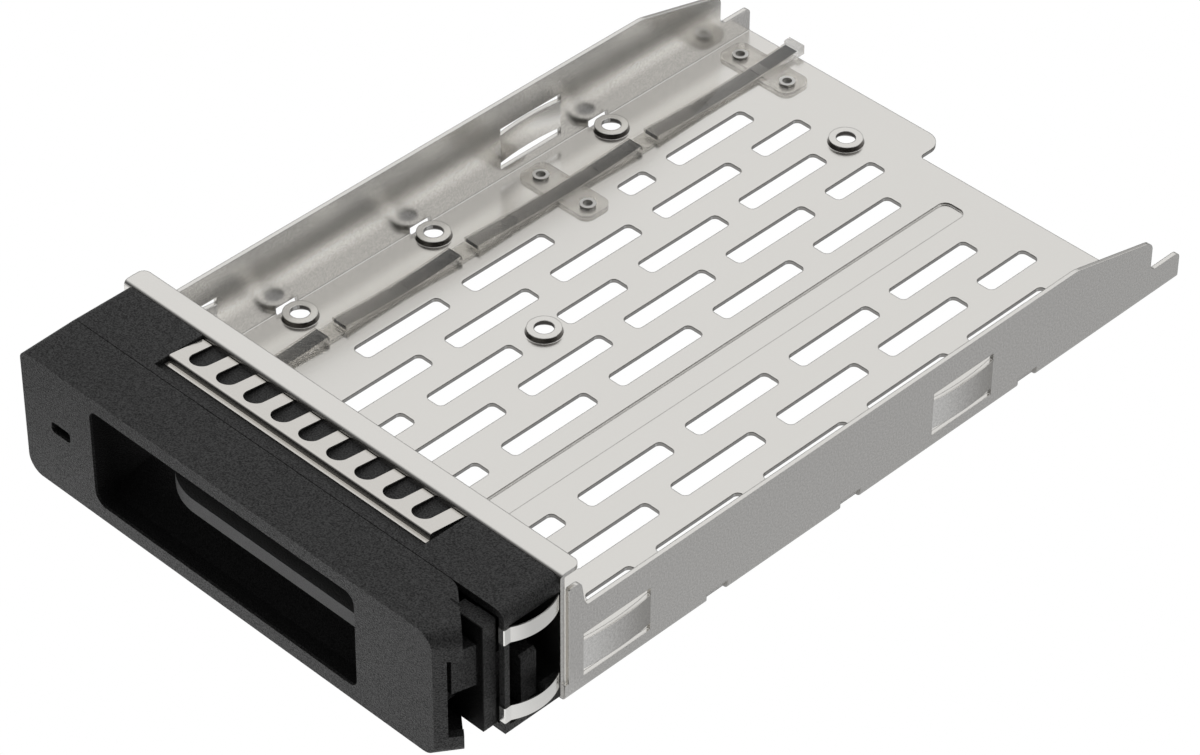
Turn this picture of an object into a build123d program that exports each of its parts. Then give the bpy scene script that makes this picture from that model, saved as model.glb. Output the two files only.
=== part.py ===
from build123d import *
import math
import os

# Hot swap drive caddy, millimetres.
# X points right, Y points rearward, Z points up, seen from the handle's side.
# The origin is the centre of the large drive's screw holes, on the plane where the drive sits.

# Drive screw patterns
LARGE_SPACING_X = 95.25
LARGE_SPACING_Y = 76.2
LARGE_MIDDLE_SETBACK = 31.75
SMALL_SPACING_X = 61.72
SMALL_SPACING_Y = 76.6
# How far the small drive's right holes lie inside the large drive's right holes
SMALL_RIGHT_INSET = 0.89
# How far the small drive's front holes lie behind the large drive's front holes
SMALL_FRONT_SETBACK = 26.84

# Folded pan
SHEET = 0.8
BEND_INSIDE = 0.2
FRONT_TO_HOLES = 34.9
HOLES_TO_WALL = 4.175
HOLES_TO_STEP = 6.16
BOSS_HEIGHT = 1.0
BOSS_TOP_RADIUS = 3.1
BOSS_DRAFT = 0.25
BOSS_SKIN = 0.55
BOSS_HOLE_RADIUS = 1.8
WALL_HEIGHT = 16.8
TAB_DROP = 3.3
TAB_END = 3.9
TAB_RAMP = 0.9
TAB_FRONT_CORNER = 0.5
TAB_REAR_CORNER = 1.2
TAB_FOOT_CORNER = 1.0
SLOPE_LENGTH = 20.7
SLOPE_END_HEIGHT = 11.55
SLOPE_TOP_CORNER = 6.0
SLOPE_END_CORNER = 2.0
TAIL_LENGTH = 8.0
TAIL_HEIGHT = 5.1
TAIL_INSIDE_CORNER = 1.5
TAIL_CORNER = 1.2
CORNER_GAP = 0.4
CORNER_JOIN_HEIGHT = 2.4
STEP_X = -2.6
STEP_DEPTH = 6.6
STEP_RIGHT_CORNER = 0.6
STEP_INSIDE_CORNER = 1.0
STEP_CORNER = 3.5
FLANGE_INSET = 0.6
FLANGE_DEPTH = 4.5
FLANGE_PROUD = 0.3
FLANGE_CORNER = 1.5
RELIEF_LENGTH = 5.0
RELIEF_HEIGHT = 1.2
RELIEF_DEPTH = 0.35

# Leaf springs cut in the side walls
LEAF_LENGTH = 15.0
LEAF_FRONTS = (4.4, 86.5)
LEAF_LOW = 3.6
LEAF_HIGH = 9.6
LEAF_GAP = 1.5
LEAF_BOW = 0.55

# Pressed rib and cooling slots in the floor
RIB_X = 11.75
RIB_WIDTH = 5.3
RIB_FRONT = 6.0
RIB_REAR_MARGIN = 13.0
RIB_DEPTH = 0.4
RIB_CORNER = 1.7
SLOT_WIDTH = 4.0
SLOT_LENGTH = 20.0
SLOT_CORNER = 1.1
SLOT_PITCH_X = 9.0
SLOT_FIRST_X = 3.0
LONG_COLUMNS = (-4, -2, 0, 2, 4)
LONG_ROWS = 5
LONG_FRONT_MARGIN = 9.75
LONG_REAR_MARGIN = 19.35
SHORT_COLUMNS = (-3, -1, 3)
SHORT_ROWS = 4
SHORT_FRONT_MARGIN = 22.5
LAST_SLOT_LENGTH = 12.7
LAST_SLOT_MARGIN = 13.8
# Slots that stop short beside a boss or an ear, as (column, row): (front, rear) setbacks
SHORTENED_SLOTS = {(-4, 3): (99.3, 106.3), (-2, 2): (66.2, 80.8), (4, 0): (19.0, 29.7)}
MISSING_SLOTS = ((-4, 0),)

# Light pipe on the floor
PIPE_INSET = 10.0
PIPE_WIDTH = 3.7
PIPE_HEIGHT = 1.35
PIPE_SAG_HEIGHT = 0.75
PIPE_FIRST_SAG = 6.0
PIPE_LIFT = 0.05
PIPE_LOW_HEIGHT = 0.5
PIPE_LOW_STRETCHES = ((33.5, 37.5), (65.0, 69.0), (110.0, 114.0))
PIPE_MARKS = (51.3, 78.2, 98.2, 126.6)
PIPE_MARK_RADIUS = 1.6
PIPE_MARK_DEPTH = 0.15
PIPE_BEND = 2.5
PIPE_CORNER = 0.4
PIPE_TIP_HEIGHT = 13.1
PIPE_TIP_BACK = 0.7
PIPE_RISER_BACK = 5.2
PIPE_RISER_THICKNESS = 2.0
PIPE_CLEARANCE = 0.3
PIPE_END_LENGTH = 1.55
PIPE_END_HEIGHT = 2.0
EAR_SPAN = 17.9
EAR_LENGTH = 6.8
EAR_THICKNESS = 0.6
EAR_CORNER = 2.0
FRONT_EAR_SETBACK = 91.86
REAR_EAR_MARGIN = 7.45
EAR_GUSSET_REACH = 2.4
EAR_GUSSET_LENGTH = 5.0
RIVET_OFFSETS = (-5.9, 5.95)
RIVET_HEAD_RADIUS = 1.5
RIVET_HEAD_HEIGHT = 0.15
RIVET_SHANK_RADIUS = 1.2
RIVET_BORE_RADIUS = 0.9
RIVET_FOOT_RADIUS = 1.9
RIVET_FOOT_HEIGHT = 0.3

# Black front, base moulding
FRONT_HEIGHT = 25.4
FRONT_LEFT_INSET = 1.4
FRONT_RIGHT_INSET = 0.85
BASE_DEPTH = 11.96
BASE_WALL = 1.45
BASE_REAR_WALL = 1.5
BASE_RIGHT_WALL = 1.2
BASE_TOP_FILLET = 1.8
SIDE_LINTEL = 3.1
SIDE_POST_DEPTH = 1.05
SIDE_SILL_HEIGHT = 4.6
SIDE_SILL_LENGTH = 3.3
CAM_BAY_TO_HINGE = 12.5
GASKET_RECESS_INSET = 18.8
GASKET_RECESS_TO_HINGE = 8.2
GASKET_RECESS_LENGTH = 10.4
GASKET_RECESS_DEPTH = 1.2
SCREW_LEFT_INSET = 4.4
SCREW_RIGHT_X = 18.0
SCREW_LOW = 5.0
SCREW_DROP = 6.4
SCREW_BOSS_RADIUS = 2.5
SCREW_BOSS_LENGTH = 8.0
SCREW_RADIUS = 1.25
SCREW_LENGTH = 7.0
SCREW_END_GAP = 0.3
SCREW_HEAD_RADIUS = 2.6
SCREW_HEAD_HEIGHT = 1.4
SCREW_SOCKET_RADIUS = 1.1
SCREW_SOCKET_DEPTH = 0.8
SCREW_CLEARANCE = 0.03
CATCH_WIDTH = 2.0
CATCH_TO_HINGE = 11.5
CATCH_SETBACK = 0.5

# Handle hinge
HINGE_INSET = 11.85
HINGE_AHEAD = 4.94
HINGE_SWING = 40.0
HINGE_PIN_RADIUS = 1.5
HINGE_PIN_CHAMFER = 0.3
HINGE_RUNNING_GAP = 0.04
HINGE_SEAT_GAP = 0.02
HINGE_PIN_END_GAP = 0.25
LUG_RADIUS = 3.0
LUG_END_GAP = 0.4
LUG_THICKNESS = 3.5
LUG_SIDE_GAP = 0.1
# Where the lug's arm leaves its ring, right and rearward of the hinge axis
LUG_ARM_LEFT = (-2.55, -1.5)
LUG_ARM_RIGHT = (0.9, 2.85)
LUG_ROOT_LEFT = 7.5
LUG_ROOT_RIGHT = 3.7
LUG_RIB_SHIFT = 7.0

# Handle moulding
HANDLE_DEPTH = 11.35
HANDLE_SEAM = 0.14
HANDLE_WALL = 1.5
HANDLE_LEFT_DRAFT = 0.5
HINGE_TO_FRONT_RIGHT = 7.9
HINGE_TO_NOSE = 10.6
CORNER_TOP_LEFT = 1.8
CORNER_BOTTOM_LEFT = 3.2
CORNER_TOP_RIGHT = 2.9
CORNER_BOTTOM_RIGHT = 2.1
HOLLOW_RUN_ON = 3.0
NOTCH_LOW = 4.0
NOTCH_DEPTH = 2.06
NOTCH_CLEARANCE = 0.3
LIGHT_HOLE_SHIFT = 0.35
LIGHT_HOLE_WIDTH = 4.7
LIGHT_HOLE_HEIGHT = 2.2
LIGHT_HOLE_CORNER = 0.7

# Finger window and its scooped pocket
WINDOW_INSET = 17.5
WINDOW_TO_HINGE = 9.5
WINDOW_LOW = 3.0
WINDOW_TOP_RIM = 2.7
WINDOW_TOP_LEFT = 1.8
WINDOW_BOTTOM_LEFT = 2.5
WINDOW_TOP_RIGHT = 2.1
WINDOW_BOTTOM_RIGHT = 1.8
JAMB_DEPTH = 3.3
SCOOP_DEPTH = 9.85
SCOOP_SKIN = 1.2
SCOOP_END_RADIUS = 6.0

# Release lever in the window
LEVER_LOW = 11.25
LEVER_THICKNESS = 2.85
LEVER_FRONT_BACK = 3.58
LEVER_PIVOT_TO_HINGE = 6.1
LEVER_PIVOT_AHEAD = 4.04
LEVER_STRAIGHT_LEFT_X = -12.0
LEVER_CORNER = 12.5
LEVER_REAR_AHEAD = 0.39
LEVER_HUB_RADIUS = 2.1
LEVER_GAP = 0.35
LEVER_PIN_RADIUS = 1.0
LEVER_PIN_CHAMFER = 0.2
LEVER_SHELF = 1.6
LEVER_SHELF_REACH = 2.5
HOOK_WIDTH = 2.1
HOOK_REAR_FORWARD = 8.2
HOOK_CORNER = 0.5
HOOK_TIP_LENGTH = 1.3
HOOK_TIP_DEPTH = 1.7
SPRING_SPACE = 2.6
SPRING_SIDE_GAP = 0.1
SPRING_THICKNESS = 0.3
SPRING_LEG = 3.4

# Cam arm
HINGE_TO_CAM_RIGHT = 10.4
CAM_END_GAP = 0.3
HINGE_TO_SLAB = 3.7
SLAB_FRONT_AHEAD = 3.3
SLAB_REAR_AHEAD = 0.19
HINGE_TO_SLAB_STEP = 6.4
SLAB_STEP = 0.2
SLAB_CORNER = 0.4
BLOCK_LOW = 11.25
BLOCK_HIGH = 19.7
BLOCK_AHEAD = 7.74
HINGE_TO_BLOCK_LEFT = 1.9
HINGE_TO_BLOCK_FRONT = 8.1
HINGE_TO_BLOCK_REAR = 9.3
HINGE_TO_ARM_RIGHT = 6.9
ARM_LOW = 2.4
ARM_HIGH = 12.2
ARM_CORNER = 0.8
HINGE_TO_PAWL = 4.9
PAWL_FRONT_FORWARD = 7.1
PAWL_REAR_FORWARD = 3.75
PAWL_CHAMFER = 0.6
HINGE_TO_CAM_SCREW = 5.1
CAM_SCREW_HEIGHTS = (13.6, 17.4)
CAM_SCREW_RADIUS = 0.9
CAM_SCREW_HEAD_RADIUS = 1.5
CAM_SCREW_HEAD_HEIGHT = 1.0
CAM_SCREW_LENGTH = 3.7
CAM_SCREW_SEAT = 2.2
CAM_BOSS_RADIUS = 1.8

# Stamped contact springs
STRIP = 0.25
GASKET_LEFT_GAP = 0.2
GASKET_RIGHT_GAP = 0.9
GASKET_PROUD = 0.3
GASKET_RISER = 7.4
GASKET_RISER_LEAN = 0.3
GASKET_LIP = 8.5
GASKET_DROP = 0.95
GASKET_REAR_GAP = 0.15
FINGER_PITCH = 6.54
FINGER_SLOT_WIDTH = 3.95
FINGER_SLOT_FRONT = 6.2
FINGER_SLOT_COUNT = 9
FINGER_SLOT_MIDDLE_X = -1.0
BAND_WIDTH = 3.1
BAND_LOW = 2.5
BAND_TOP_GAP = 0.2
BAND_BOW = 1.6
BAND_REAR_GAP = 0.4
BAND_FOOT = 1.1
BAND_WRAP = 1.0

# Overlap of joined shapes, how near two ends must be to count as one, how far a cut runs past its
# work, and a length past every piece
OVERLAP = 0.5
TOUCHING = 0.001
OVERSHOOT = 1.0
REACH = 200.0

# Worked out from the values above: the pan
FRONT_Y = -FRONT_TO_HOLES - LARGE_SPACING_Y / 2
FLOOR_TOP = -BOSS_HEIGHT
PAN_WIDTH = LARGE_SPACING_X + 2 * HOLES_TO_WALL
SMALL_REAR_SETBACK = FRONT_TO_HOLES + SMALL_FRONT_SETBACK + SMALL_SPACING_Y
PAN_LENGTH = SMALL_REAR_SETBACK + HOLES_TO_STEP + STEP_DEPTH
SMALL_LEFT_X = LARGE_SPACING_X / 2 - SMALL_RIGHT_INSET - SMALL_SPACING_X
WALL_OUTSIDE = PAN_WIDTH / 2
WALL_INSIDE = WALL_OUTSIDE - SHEET
BEND_OUTSIDE = BEND_INSIDE + SHEET
SLOPE_END = PAN_LENGTH - TAIL_LENGTH
FLANGE_WIDTH = PAN_WIDTH - 2 * FLANGE_INSET
FLANGE_HEIGHT = FRONT_HEIGHT + FLANGE_PROUD
TAB_HEIGHT = FLANGE_HEIGHT - TAB_DROP
RIB_REAR = PAN_LENGTH - RIB_REAR_MARGIN
LONG_RUN = PAN_LENGTH - LONG_FRONT_MARGIN - LONG_REAR_MARGIN - SLOT_LENGTH
SLOT_PITCH_Y = LONG_RUN / (LONG_ROWS - 1)
LAST_SLOT_REAR = PAN_LENGTH - LAST_SLOT_MARGIN
LAST_SLOT_FRONT = LAST_SLOT_REAR - LAST_SLOT_LENGTH

# Worked out: places of the front's pieces
FRONT_LEFT_X = FRONT_LEFT_INSET - WALL_OUTSIDE
BASE_RIGHT_X = WALL_OUTSIDE - FRONT_RIGHT_INSET
HINGE_X = BASE_RIGHT_X - HINGE_INSET
HINGE_FORWARD = BASE_DEPTH + HINGE_AHEAD
PIPE_X = FRONT_LEFT_X + PIPE_INSET
EAR_STATIONS = (FRONT_EAR_SETBACK, PAN_LENGTH - REAR_EAR_MARGIN)
SCREW_XS = (FRONT_LEFT_X + SCREW_LEFT_INSET, SCREW_RIGHT_X)
SCREW_HEIGHTS = (SCREW_LOW, FRONT_HEIGHT - SCREW_DROP)
SIDE_OPENING_TOP = FRONT_HEIGHT - SIDE_LINTEL
CAM_BAY_LEFT_X = HINGE_X - CAM_BAY_TO_HINGE
CATCH_RIGHT_X = HINGE_X - CATCH_TO_HINGE
GASKET_RECESS_LEFT = FRONT_LEFT_X + GASKET_RECESS_INSET
GASKET_RECESS_RIGHT = HINGE_X - GASKET_RECESS_TO_HINGE
LUG_ROOT_LEFT_X = HINGE_X - LUG_ROOT_LEFT
LUG_ROOT_RIGHT_X = HINGE_X - LUG_ROOT_RIGHT
HANDLE_FRONT_LEFT_X = FRONT_LEFT_X + HANDLE_LEFT_DRAFT
HANDLE_FRONT_RIGHT_X = HINGE_X + HINGE_TO_FRONT_RIGHT
NOSE_X = HINGE_X + HINGE_TO_NOSE
NOTCH_HIGH = BLOCK_HIGH + NOTCH_CLEARANCE
WINDOW_LEFT_X = FRONT_LEFT_X + WINDOW_INSET
WINDOW_RIGHT_X = HINGE_X - WINDOW_TO_HINGE
WINDOW_HIGH = FRONT_HEIGHT - WINDOW_TOP_RIM
LEVER_HIGH = LEVER_LOW + LEVER_THICKNESS
LEVER_PIVOT_X = HINGE_X - LEVER_PIVOT_TO_HINGE
LEVER_PIVOT_FORWARD = BASE_DEPTH + LEVER_PIVOT_AHEAD
LEVER_REAR_FORWARD = BASE_DEPTH + LEVER_REAR_AHEAD
CAM_RIGHT_X = HINGE_X + HINGE_TO_CAM_RIGHT
SLAB_FRONT_FORWARD = BASE_DEPTH + SLAB_FRONT_AHEAD
SLAB_REAR_FORWARD = BASE_DEPTH + SLAB_REAR_AHEAD
BLOCK_FORWARD = BASE_DEPTH + BLOCK_AHEAD
SLAB_LEFT_X = HINGE_X + HINGE_TO_SLAB
SLAB_STEP_X = HINGE_X + HINGE_TO_SLAB_STEP
ARM_RIGHT_X = HINGE_X + HINGE_TO_ARM_RIGHT
PAWL_LEFT_X = HINGE_X + HINGE_TO_PAWL
CAM_SCREW_X = HINGE_X + HINGE_TO_CAM_SCREW


def at_y(setback):
    """Y of a place that lies so far behind the pan's front face."""
    return FRONT_Y + setback


def at_z(height):
    """Z of a place that lies so high above the pan's floor."""
    return FLOOR_TOP + height


def outline(*corners):
    """Closed face from corners, each (x, y) or (x, y, radius), with real arcs at the radii."""
    points = [Vector(corner[0], corner[1]) for corner in corners]
    radii = [corner[2] if len(corner) > 2 else 0 for corner in corners]
    edges = []
    ends = []
    for i, here in enumerate(points):
        if radii[i] == 0:
            ends.append((here, here))
            continue
        to_last = (points[i - 1] - here).normalized()
        to_next = (points[(i + 1) % len(points)] - here).normalized()
        half = math.radians(to_last.get_angle(to_next)) / 2
        start = here + to_last * (radii[i] / math.tan(half))
        end = here + to_next * (radii[i] / math.tan(half))
        middle = here + (to_last + to_next).normalized() * (radii[i] / math.sin(half) - radii[i])
        edges.append(ThreePointArc(start, middle, end))
        ends.append((start, end))
    for i in range(len(points)):
        start = ends[i][1]
        end = ends[(i + 1) % len(points)][0]
        if (end - start).length > TOUCHING:
            edges.append(Line(start, end))
    return make_face(edges)


def upright(face, low, high):
    """Plan view face made a solid between two values of Z."""
    return extrude(Pos(0, 0, low) * face, high - low)


def sideways(face, left, right):
    """Side view face, drawn as (Y, Z), made a solid between two values of X."""
    return extrude(Plane.YZ.offset(left) * face, right - left)


def rearward(face, front, rear):
    """Front view face, drawn as (X, Z), made a solid between two values of Y."""
    return extrude(Plane.XZ.offset(-rear) * face, rear - front)


def block(left, right, front, rear, low, high):
    """Plain box from its six limits."""
    size = Box(right - left, rear - front, high - low)
    return Pos((left + right) / 2, (front + rear) / 2, (low + high) / 2) * size


def post(x, y, low, high, radius):
    """Round post along Z."""
    return Pos(x, y, (low + high) / 2) * Cylinder(radius, high - low)


def stud(x, z, front, rear, radius):
    """Round stud along Y."""
    return Pos(x, (front + rear) / 2, z) * Rot(90, 0, 0) * Cylinder(radius, rear - front)


# Places of the drive bosses


def large_boss_rows():
    """Y of the three rows of holes for the large drive."""
    front = at_y(FRONT_TO_HOLES)
    return (front, front + LARGE_MIDDLE_SETBACK, front + LARGE_SPACING_Y)


def large_boss_places():
    """Three holes a side for the large drive."""
    return [(side * LARGE_SPACING_X / 2, y) for side in (-1, 1) for y in large_boss_rows()]


def small_boss_places():
    """Four holes for the small drive."""
    front = at_y(FRONT_TO_HOLES + SMALL_FRONT_SETBACK)
    columns = (SMALL_LEFT_X, SMALL_LEFT_X + SMALL_SPACING_X)
    return [(x, y) for x in columns for y in (front, front + SMALL_SPACING_Y)]


# Folded pan


def pan_channel():
    """Floor and side walls as one bent channel, trimmed to the side and plan outlines."""
    section = outline(
        (-WALL_OUTSIDE, at_z(-SHEET), BEND_OUTSIDE),
        (WALL_OUTSIDE, at_z(-SHEET), BEND_OUTSIDE),
        (WALL_OUTSIDE, at_z(TAB_HEIGHT)),
        (WALL_INSIDE, at_z(TAB_HEIGHT)),
        (WALL_INSIDE, FLOOR_TOP, BEND_INSIDE),
        (-WALL_INSIDE, FLOOR_TOP, BEND_INSIDE),
        (-WALL_INSIDE, at_z(TAB_HEIGHT)),
        (-WALL_OUTSIDE, at_z(TAB_HEIGHT)),
    )
    wall_front = SHEET + CORNER_GAP
    side_view = outline(
        (at_y(SHEET / 2), at_z(-SHEET)),
        (at_y(SHEET / 2), at_z(CORNER_JOIN_HEIGHT)),
        (at_y(wall_front), at_z(CORNER_JOIN_HEIGHT)),
        (at_y(wall_front), at_z(TAB_HEIGHT), TAB_FRONT_CORNER),
        (at_y(TAB_END), at_z(TAB_HEIGHT), TAB_REAR_CORNER),
        (at_y(TAB_END + TAB_RAMP), at_z(WALL_HEIGHT), TAB_FOOT_CORNER),
        (at_y(SLOPE_END - SLOPE_LENGTH), at_z(WALL_HEIGHT), SLOPE_TOP_CORNER),
        (at_y(SLOPE_END), at_z(SLOPE_END_HEIGHT), SLOPE_END_CORNER),
        (at_y(SLOPE_END), at_z(TAIL_HEIGHT), TAIL_INSIDE_CORNER),
        (at_y(PAN_LENGTH), at_z(TAIL_HEIGHT), TAIL_CORNER),
        (at_y(PAN_LENGTH), at_z(-SHEET)),
    )
    step_y = at_y(PAN_LENGTH - STEP_DEPTH)
    plan = outline(
        (-WALL_OUTSIDE, at_y(0)),
        (WALL_OUTSIDE, at_y(0)),
        (WALL_OUTSIDE, at_y(PAN_LENGTH)),
        (WALL_OUTSIDE - BEND_OUTSIDE, at_y(PAN_LENGTH)),
        (WALL_OUTSIDE - BEND_OUTSIDE, step_y, STEP_RIGHT_CORNER),
        (STEP_X, step_y, STEP_INSIDE_CORNER),
        (STEP_X, at_y(PAN_LENGTH), STEP_CORNER),
        (-WALL_OUTSIDE, at_y(PAN_LENGTH)),
    )
    channel = rearward(section, at_y(0), at_y(PAN_LENGTH))
    channel = channel & sideways(side_view, -REACH, REACH)
    return channel & upright(plan, -REACH, REACH)


def pan_front():
    """Front wall folded up from the floor, with the flange folded back at its top."""
    section = outline(
        (at_y(0), at_z(-SHEET), BEND_OUTSIDE),
        (at_y(0), at_z(FLANGE_HEIGHT), BEND_OUTSIDE),
        (at_y(FLANGE_DEPTH), at_z(FLANGE_HEIGHT)),
        (at_y(FLANGE_DEPTH), at_z(FLANGE_HEIGHT - SHEET)),
        (at_y(SHEET), at_z(FLANGE_HEIGHT - SHEET), BEND_INSIDE),
        (at_y(SHEET), FLOOR_TOP, BEND_INSIDE),
        (at_y(SHEET + BEND_OUTSIDE), FLOOR_TOP),
        (at_y(SHEET + BEND_OUTSIDE), at_z(-SHEET)),
    )
    plan = outline(
        (-FLANGE_WIDTH / 2, at_y(0)),
        (FLANGE_WIDTH / 2, at_y(0)),
        (FLANGE_WIDTH / 2, at_y(FLANGE_DEPTH), FLANGE_CORNER),
        (-FLANGE_WIDTH / 2, at_y(FLANGE_DEPTH), FLANGE_CORNER),
    )
    return sideways(section, -WALL_OUTSIDE, WALL_OUTSIDE) & upright(plan, -REACH, REACH)


def leaf(side, front):
    """One bowed leaf between its two slots, as a strip of the wall's own sheet."""
    inside = side * WALL_INSIDE
    outside = side * WALL_OUTSIDE
    bow = side * LEAF_BOW
    start = at_y(front)
    end = at_y(front + LEAF_LENGTH)
    middle = (start + end) / 2
    edges = [
        ThreePointArc((outside, start), (outside + bow, middle), (outside, end)),
        Line((outside, end), (inside, end)),
        ThreePointArc((inside, end), (inside + bow, middle), (inside, start)),
        Line((inside, start), (outside, start)),
    ]
    return upright(make_face(edges), at_z(LEAF_LOW), at_z(LEAF_HIGH))


def leaf_window(side, front):
    """What is cut from the wall round a leaf."""
    near = side * (WALL_INSIDE - SHEET)
    far = side * (WALL_OUTSIDE + SHEET)
    return block(
        min(near, far),
        max(near, far),
        at_y(front),
        at_y(front + LEAF_LENGTH),
        at_z(LEAF_LOW - LEAF_GAP),
        at_z(LEAF_HIGH + LEAF_GAP),
    )


def floor_slots():
    """Cooling slots, in long columns and in shorter ones set half a row back."""
    places = []
    for column in LONG_COLUMNS:
        for row in range(LONG_ROWS):
            front = LONG_FRONT_MARGIN + row * SLOT_PITCH_Y
            places.append((column, row, front, front + SLOT_LENGTH))
    for column in SHORT_COLUMNS:
        for row in range(SHORT_ROWS):
            front = SHORT_FRONT_MARGIN + row * SLOT_PITCH_Y
            places.append((column, row, front, front + SLOT_LENGTH))
        places.append((column, SHORT_ROWS, LAST_SLOT_FRONT, LAST_SLOT_REAR))
    slots = []
    for column, row, front, rear in places:
        if (column, row) in MISSING_SLOTS:
            continue
        front, rear = SHORTENED_SLOTS.get((column, row), (front, rear))
        x = SLOT_FIRST_X + column * SLOT_PITCH_X
        shape = Pos(x, at_y((front + rear) / 2)) * RectangleRounded(SLOT_WIDTH, rear - front, SLOT_CORNER)
        slots.append(upright(shape, at_z(-2 * SHEET), at_z(SHEET)))
    return slots


def rib_shape(low, high):
    """Plan of the pressed rib between two heights."""
    face = Pos(RIB_X, at_y((RIB_FRONT + RIB_REAR) / 2)) * RectangleRounded(
        RIB_WIDTH, RIB_REAR - RIB_FRONT, RIB_CORNER
    )
    return upright(face, low, high)


def tray_pan():
    """The whole folded and pressed sheet."""
    pan = pan_channel() + pan_front()
    pan = pan + rib_shape(at_z(-SHEET - RIB_DEPTH), at_z(-SHEET))
    cuts = [rib_shape(at_z(-RIB_DEPTH), at_z(SHEET))]
    cuts += floor_slots()
    pads = []
    for x, y in large_boss_places() + small_boss_places():
        pad = Cone(BOSS_TOP_RADIUS + BOSS_DRAFT, BOSS_TOP_RADIUS, BOSS_HEIGHT)
        pads.append(Pos(x, y, FLOOR_TOP + BOSS_HEIGHT / 2) * pad)
        dent_radius = BOSS_TOP_RADIUS - BOSS_SKIN
        dent = Cone(dent_radius + BOSS_DRAFT, dent_radius, BOSS_HEIGHT)
        cuts.append(Pos(x, y, at_z(-SHEET + BOSS_HEIGHT / 2)) * dent)
        cuts.append(post(x, y, at_z(-SHEET), at_z(BOSS_HEIGHT), BOSS_HOLE_RADIUS))
    pan = pan + pads
    leaves = []
    for side in (-1, 1):
        for front in LEAF_FRONTS:
            cuts.append(leaf_window(side, front))
            leaves.append(leaf(side, front))
        for y in large_boss_rows():
            near = side * (WALL_INSIDE - RELIEF_DEPTH)
            far = side * (WALL_OUTSIDE + SHEET)
            cuts.append(
                block(
                    min(near, far),
                    max(near, far),
                    y - RELIEF_LENGTH / 2,
                    y + RELIEF_LENGTH / 2,
                    at_z(-2 * SHEET),
                    at_z(RELIEF_HEIGHT),
                )
            )
    for x in SCREW_XS:
        for height in SCREW_HEIGHTS:
            hole = SCREW_RADIUS + SCREW_CLEARANCE
            cuts.append(stud(x, at_z(height), at_y(-SHEET), at_y(2 * SHEET), hole))
    for x, y in rivet_places():
        cuts.append(post(x, y, at_z(-2 * SHEET), at_z(SHEET), RIVET_SHANK_RADIUS + SCREW_CLEARANCE))
    pipe_half = PIPE_WIDTH / 2 + PIPE_CLEARANCE
    cuts.append(
        block(
            PIPE_X - pipe_half,
            PIPE_X + pipe_half,
            at_y(-SHEET),
            at_y(SHEET + BEND_INSIDE),
            FLOOR_TOP,
            at_z(PIPE_HEIGHT + PIPE_CLEARANCE),
        )
    )
    return (pan - cuts) + leaves


# Light pipe


def rivet_places():
    """Two rivets through each eared plate."""
    return [(PIPE_X + offset, at_y(station)) for station in EAR_STATIONS for offset in RIVET_OFFSETS]


def pipe_stretches():
    """Setbacks of the full stretches of the pipe, between its low ones."""
    fronts = [PIPE_FIRST_SAG] + [rear for _, rear in PIPE_LOW_STRETCHES]
    rears = [front for front, _ in PIPE_LOW_STRETCHES] + [PAN_LENGTH]
    return list(zip(fronts, rears))


def pipe_top(setback):
    """Height of the pipe's top, which sags between the ends of each full stretch."""
    height = PIPE_HEIGHT
    for front, rear in pipe_stretches():
        if front <= setback <= rear:
            from_middle = 2 * (setback - front) / (rear - front) - 1
            height = PIPE_SAG_HEIGHT + (PIPE_HEIGHT - PIPE_SAG_HEIGHT) * from_middle**2
    return height


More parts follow.
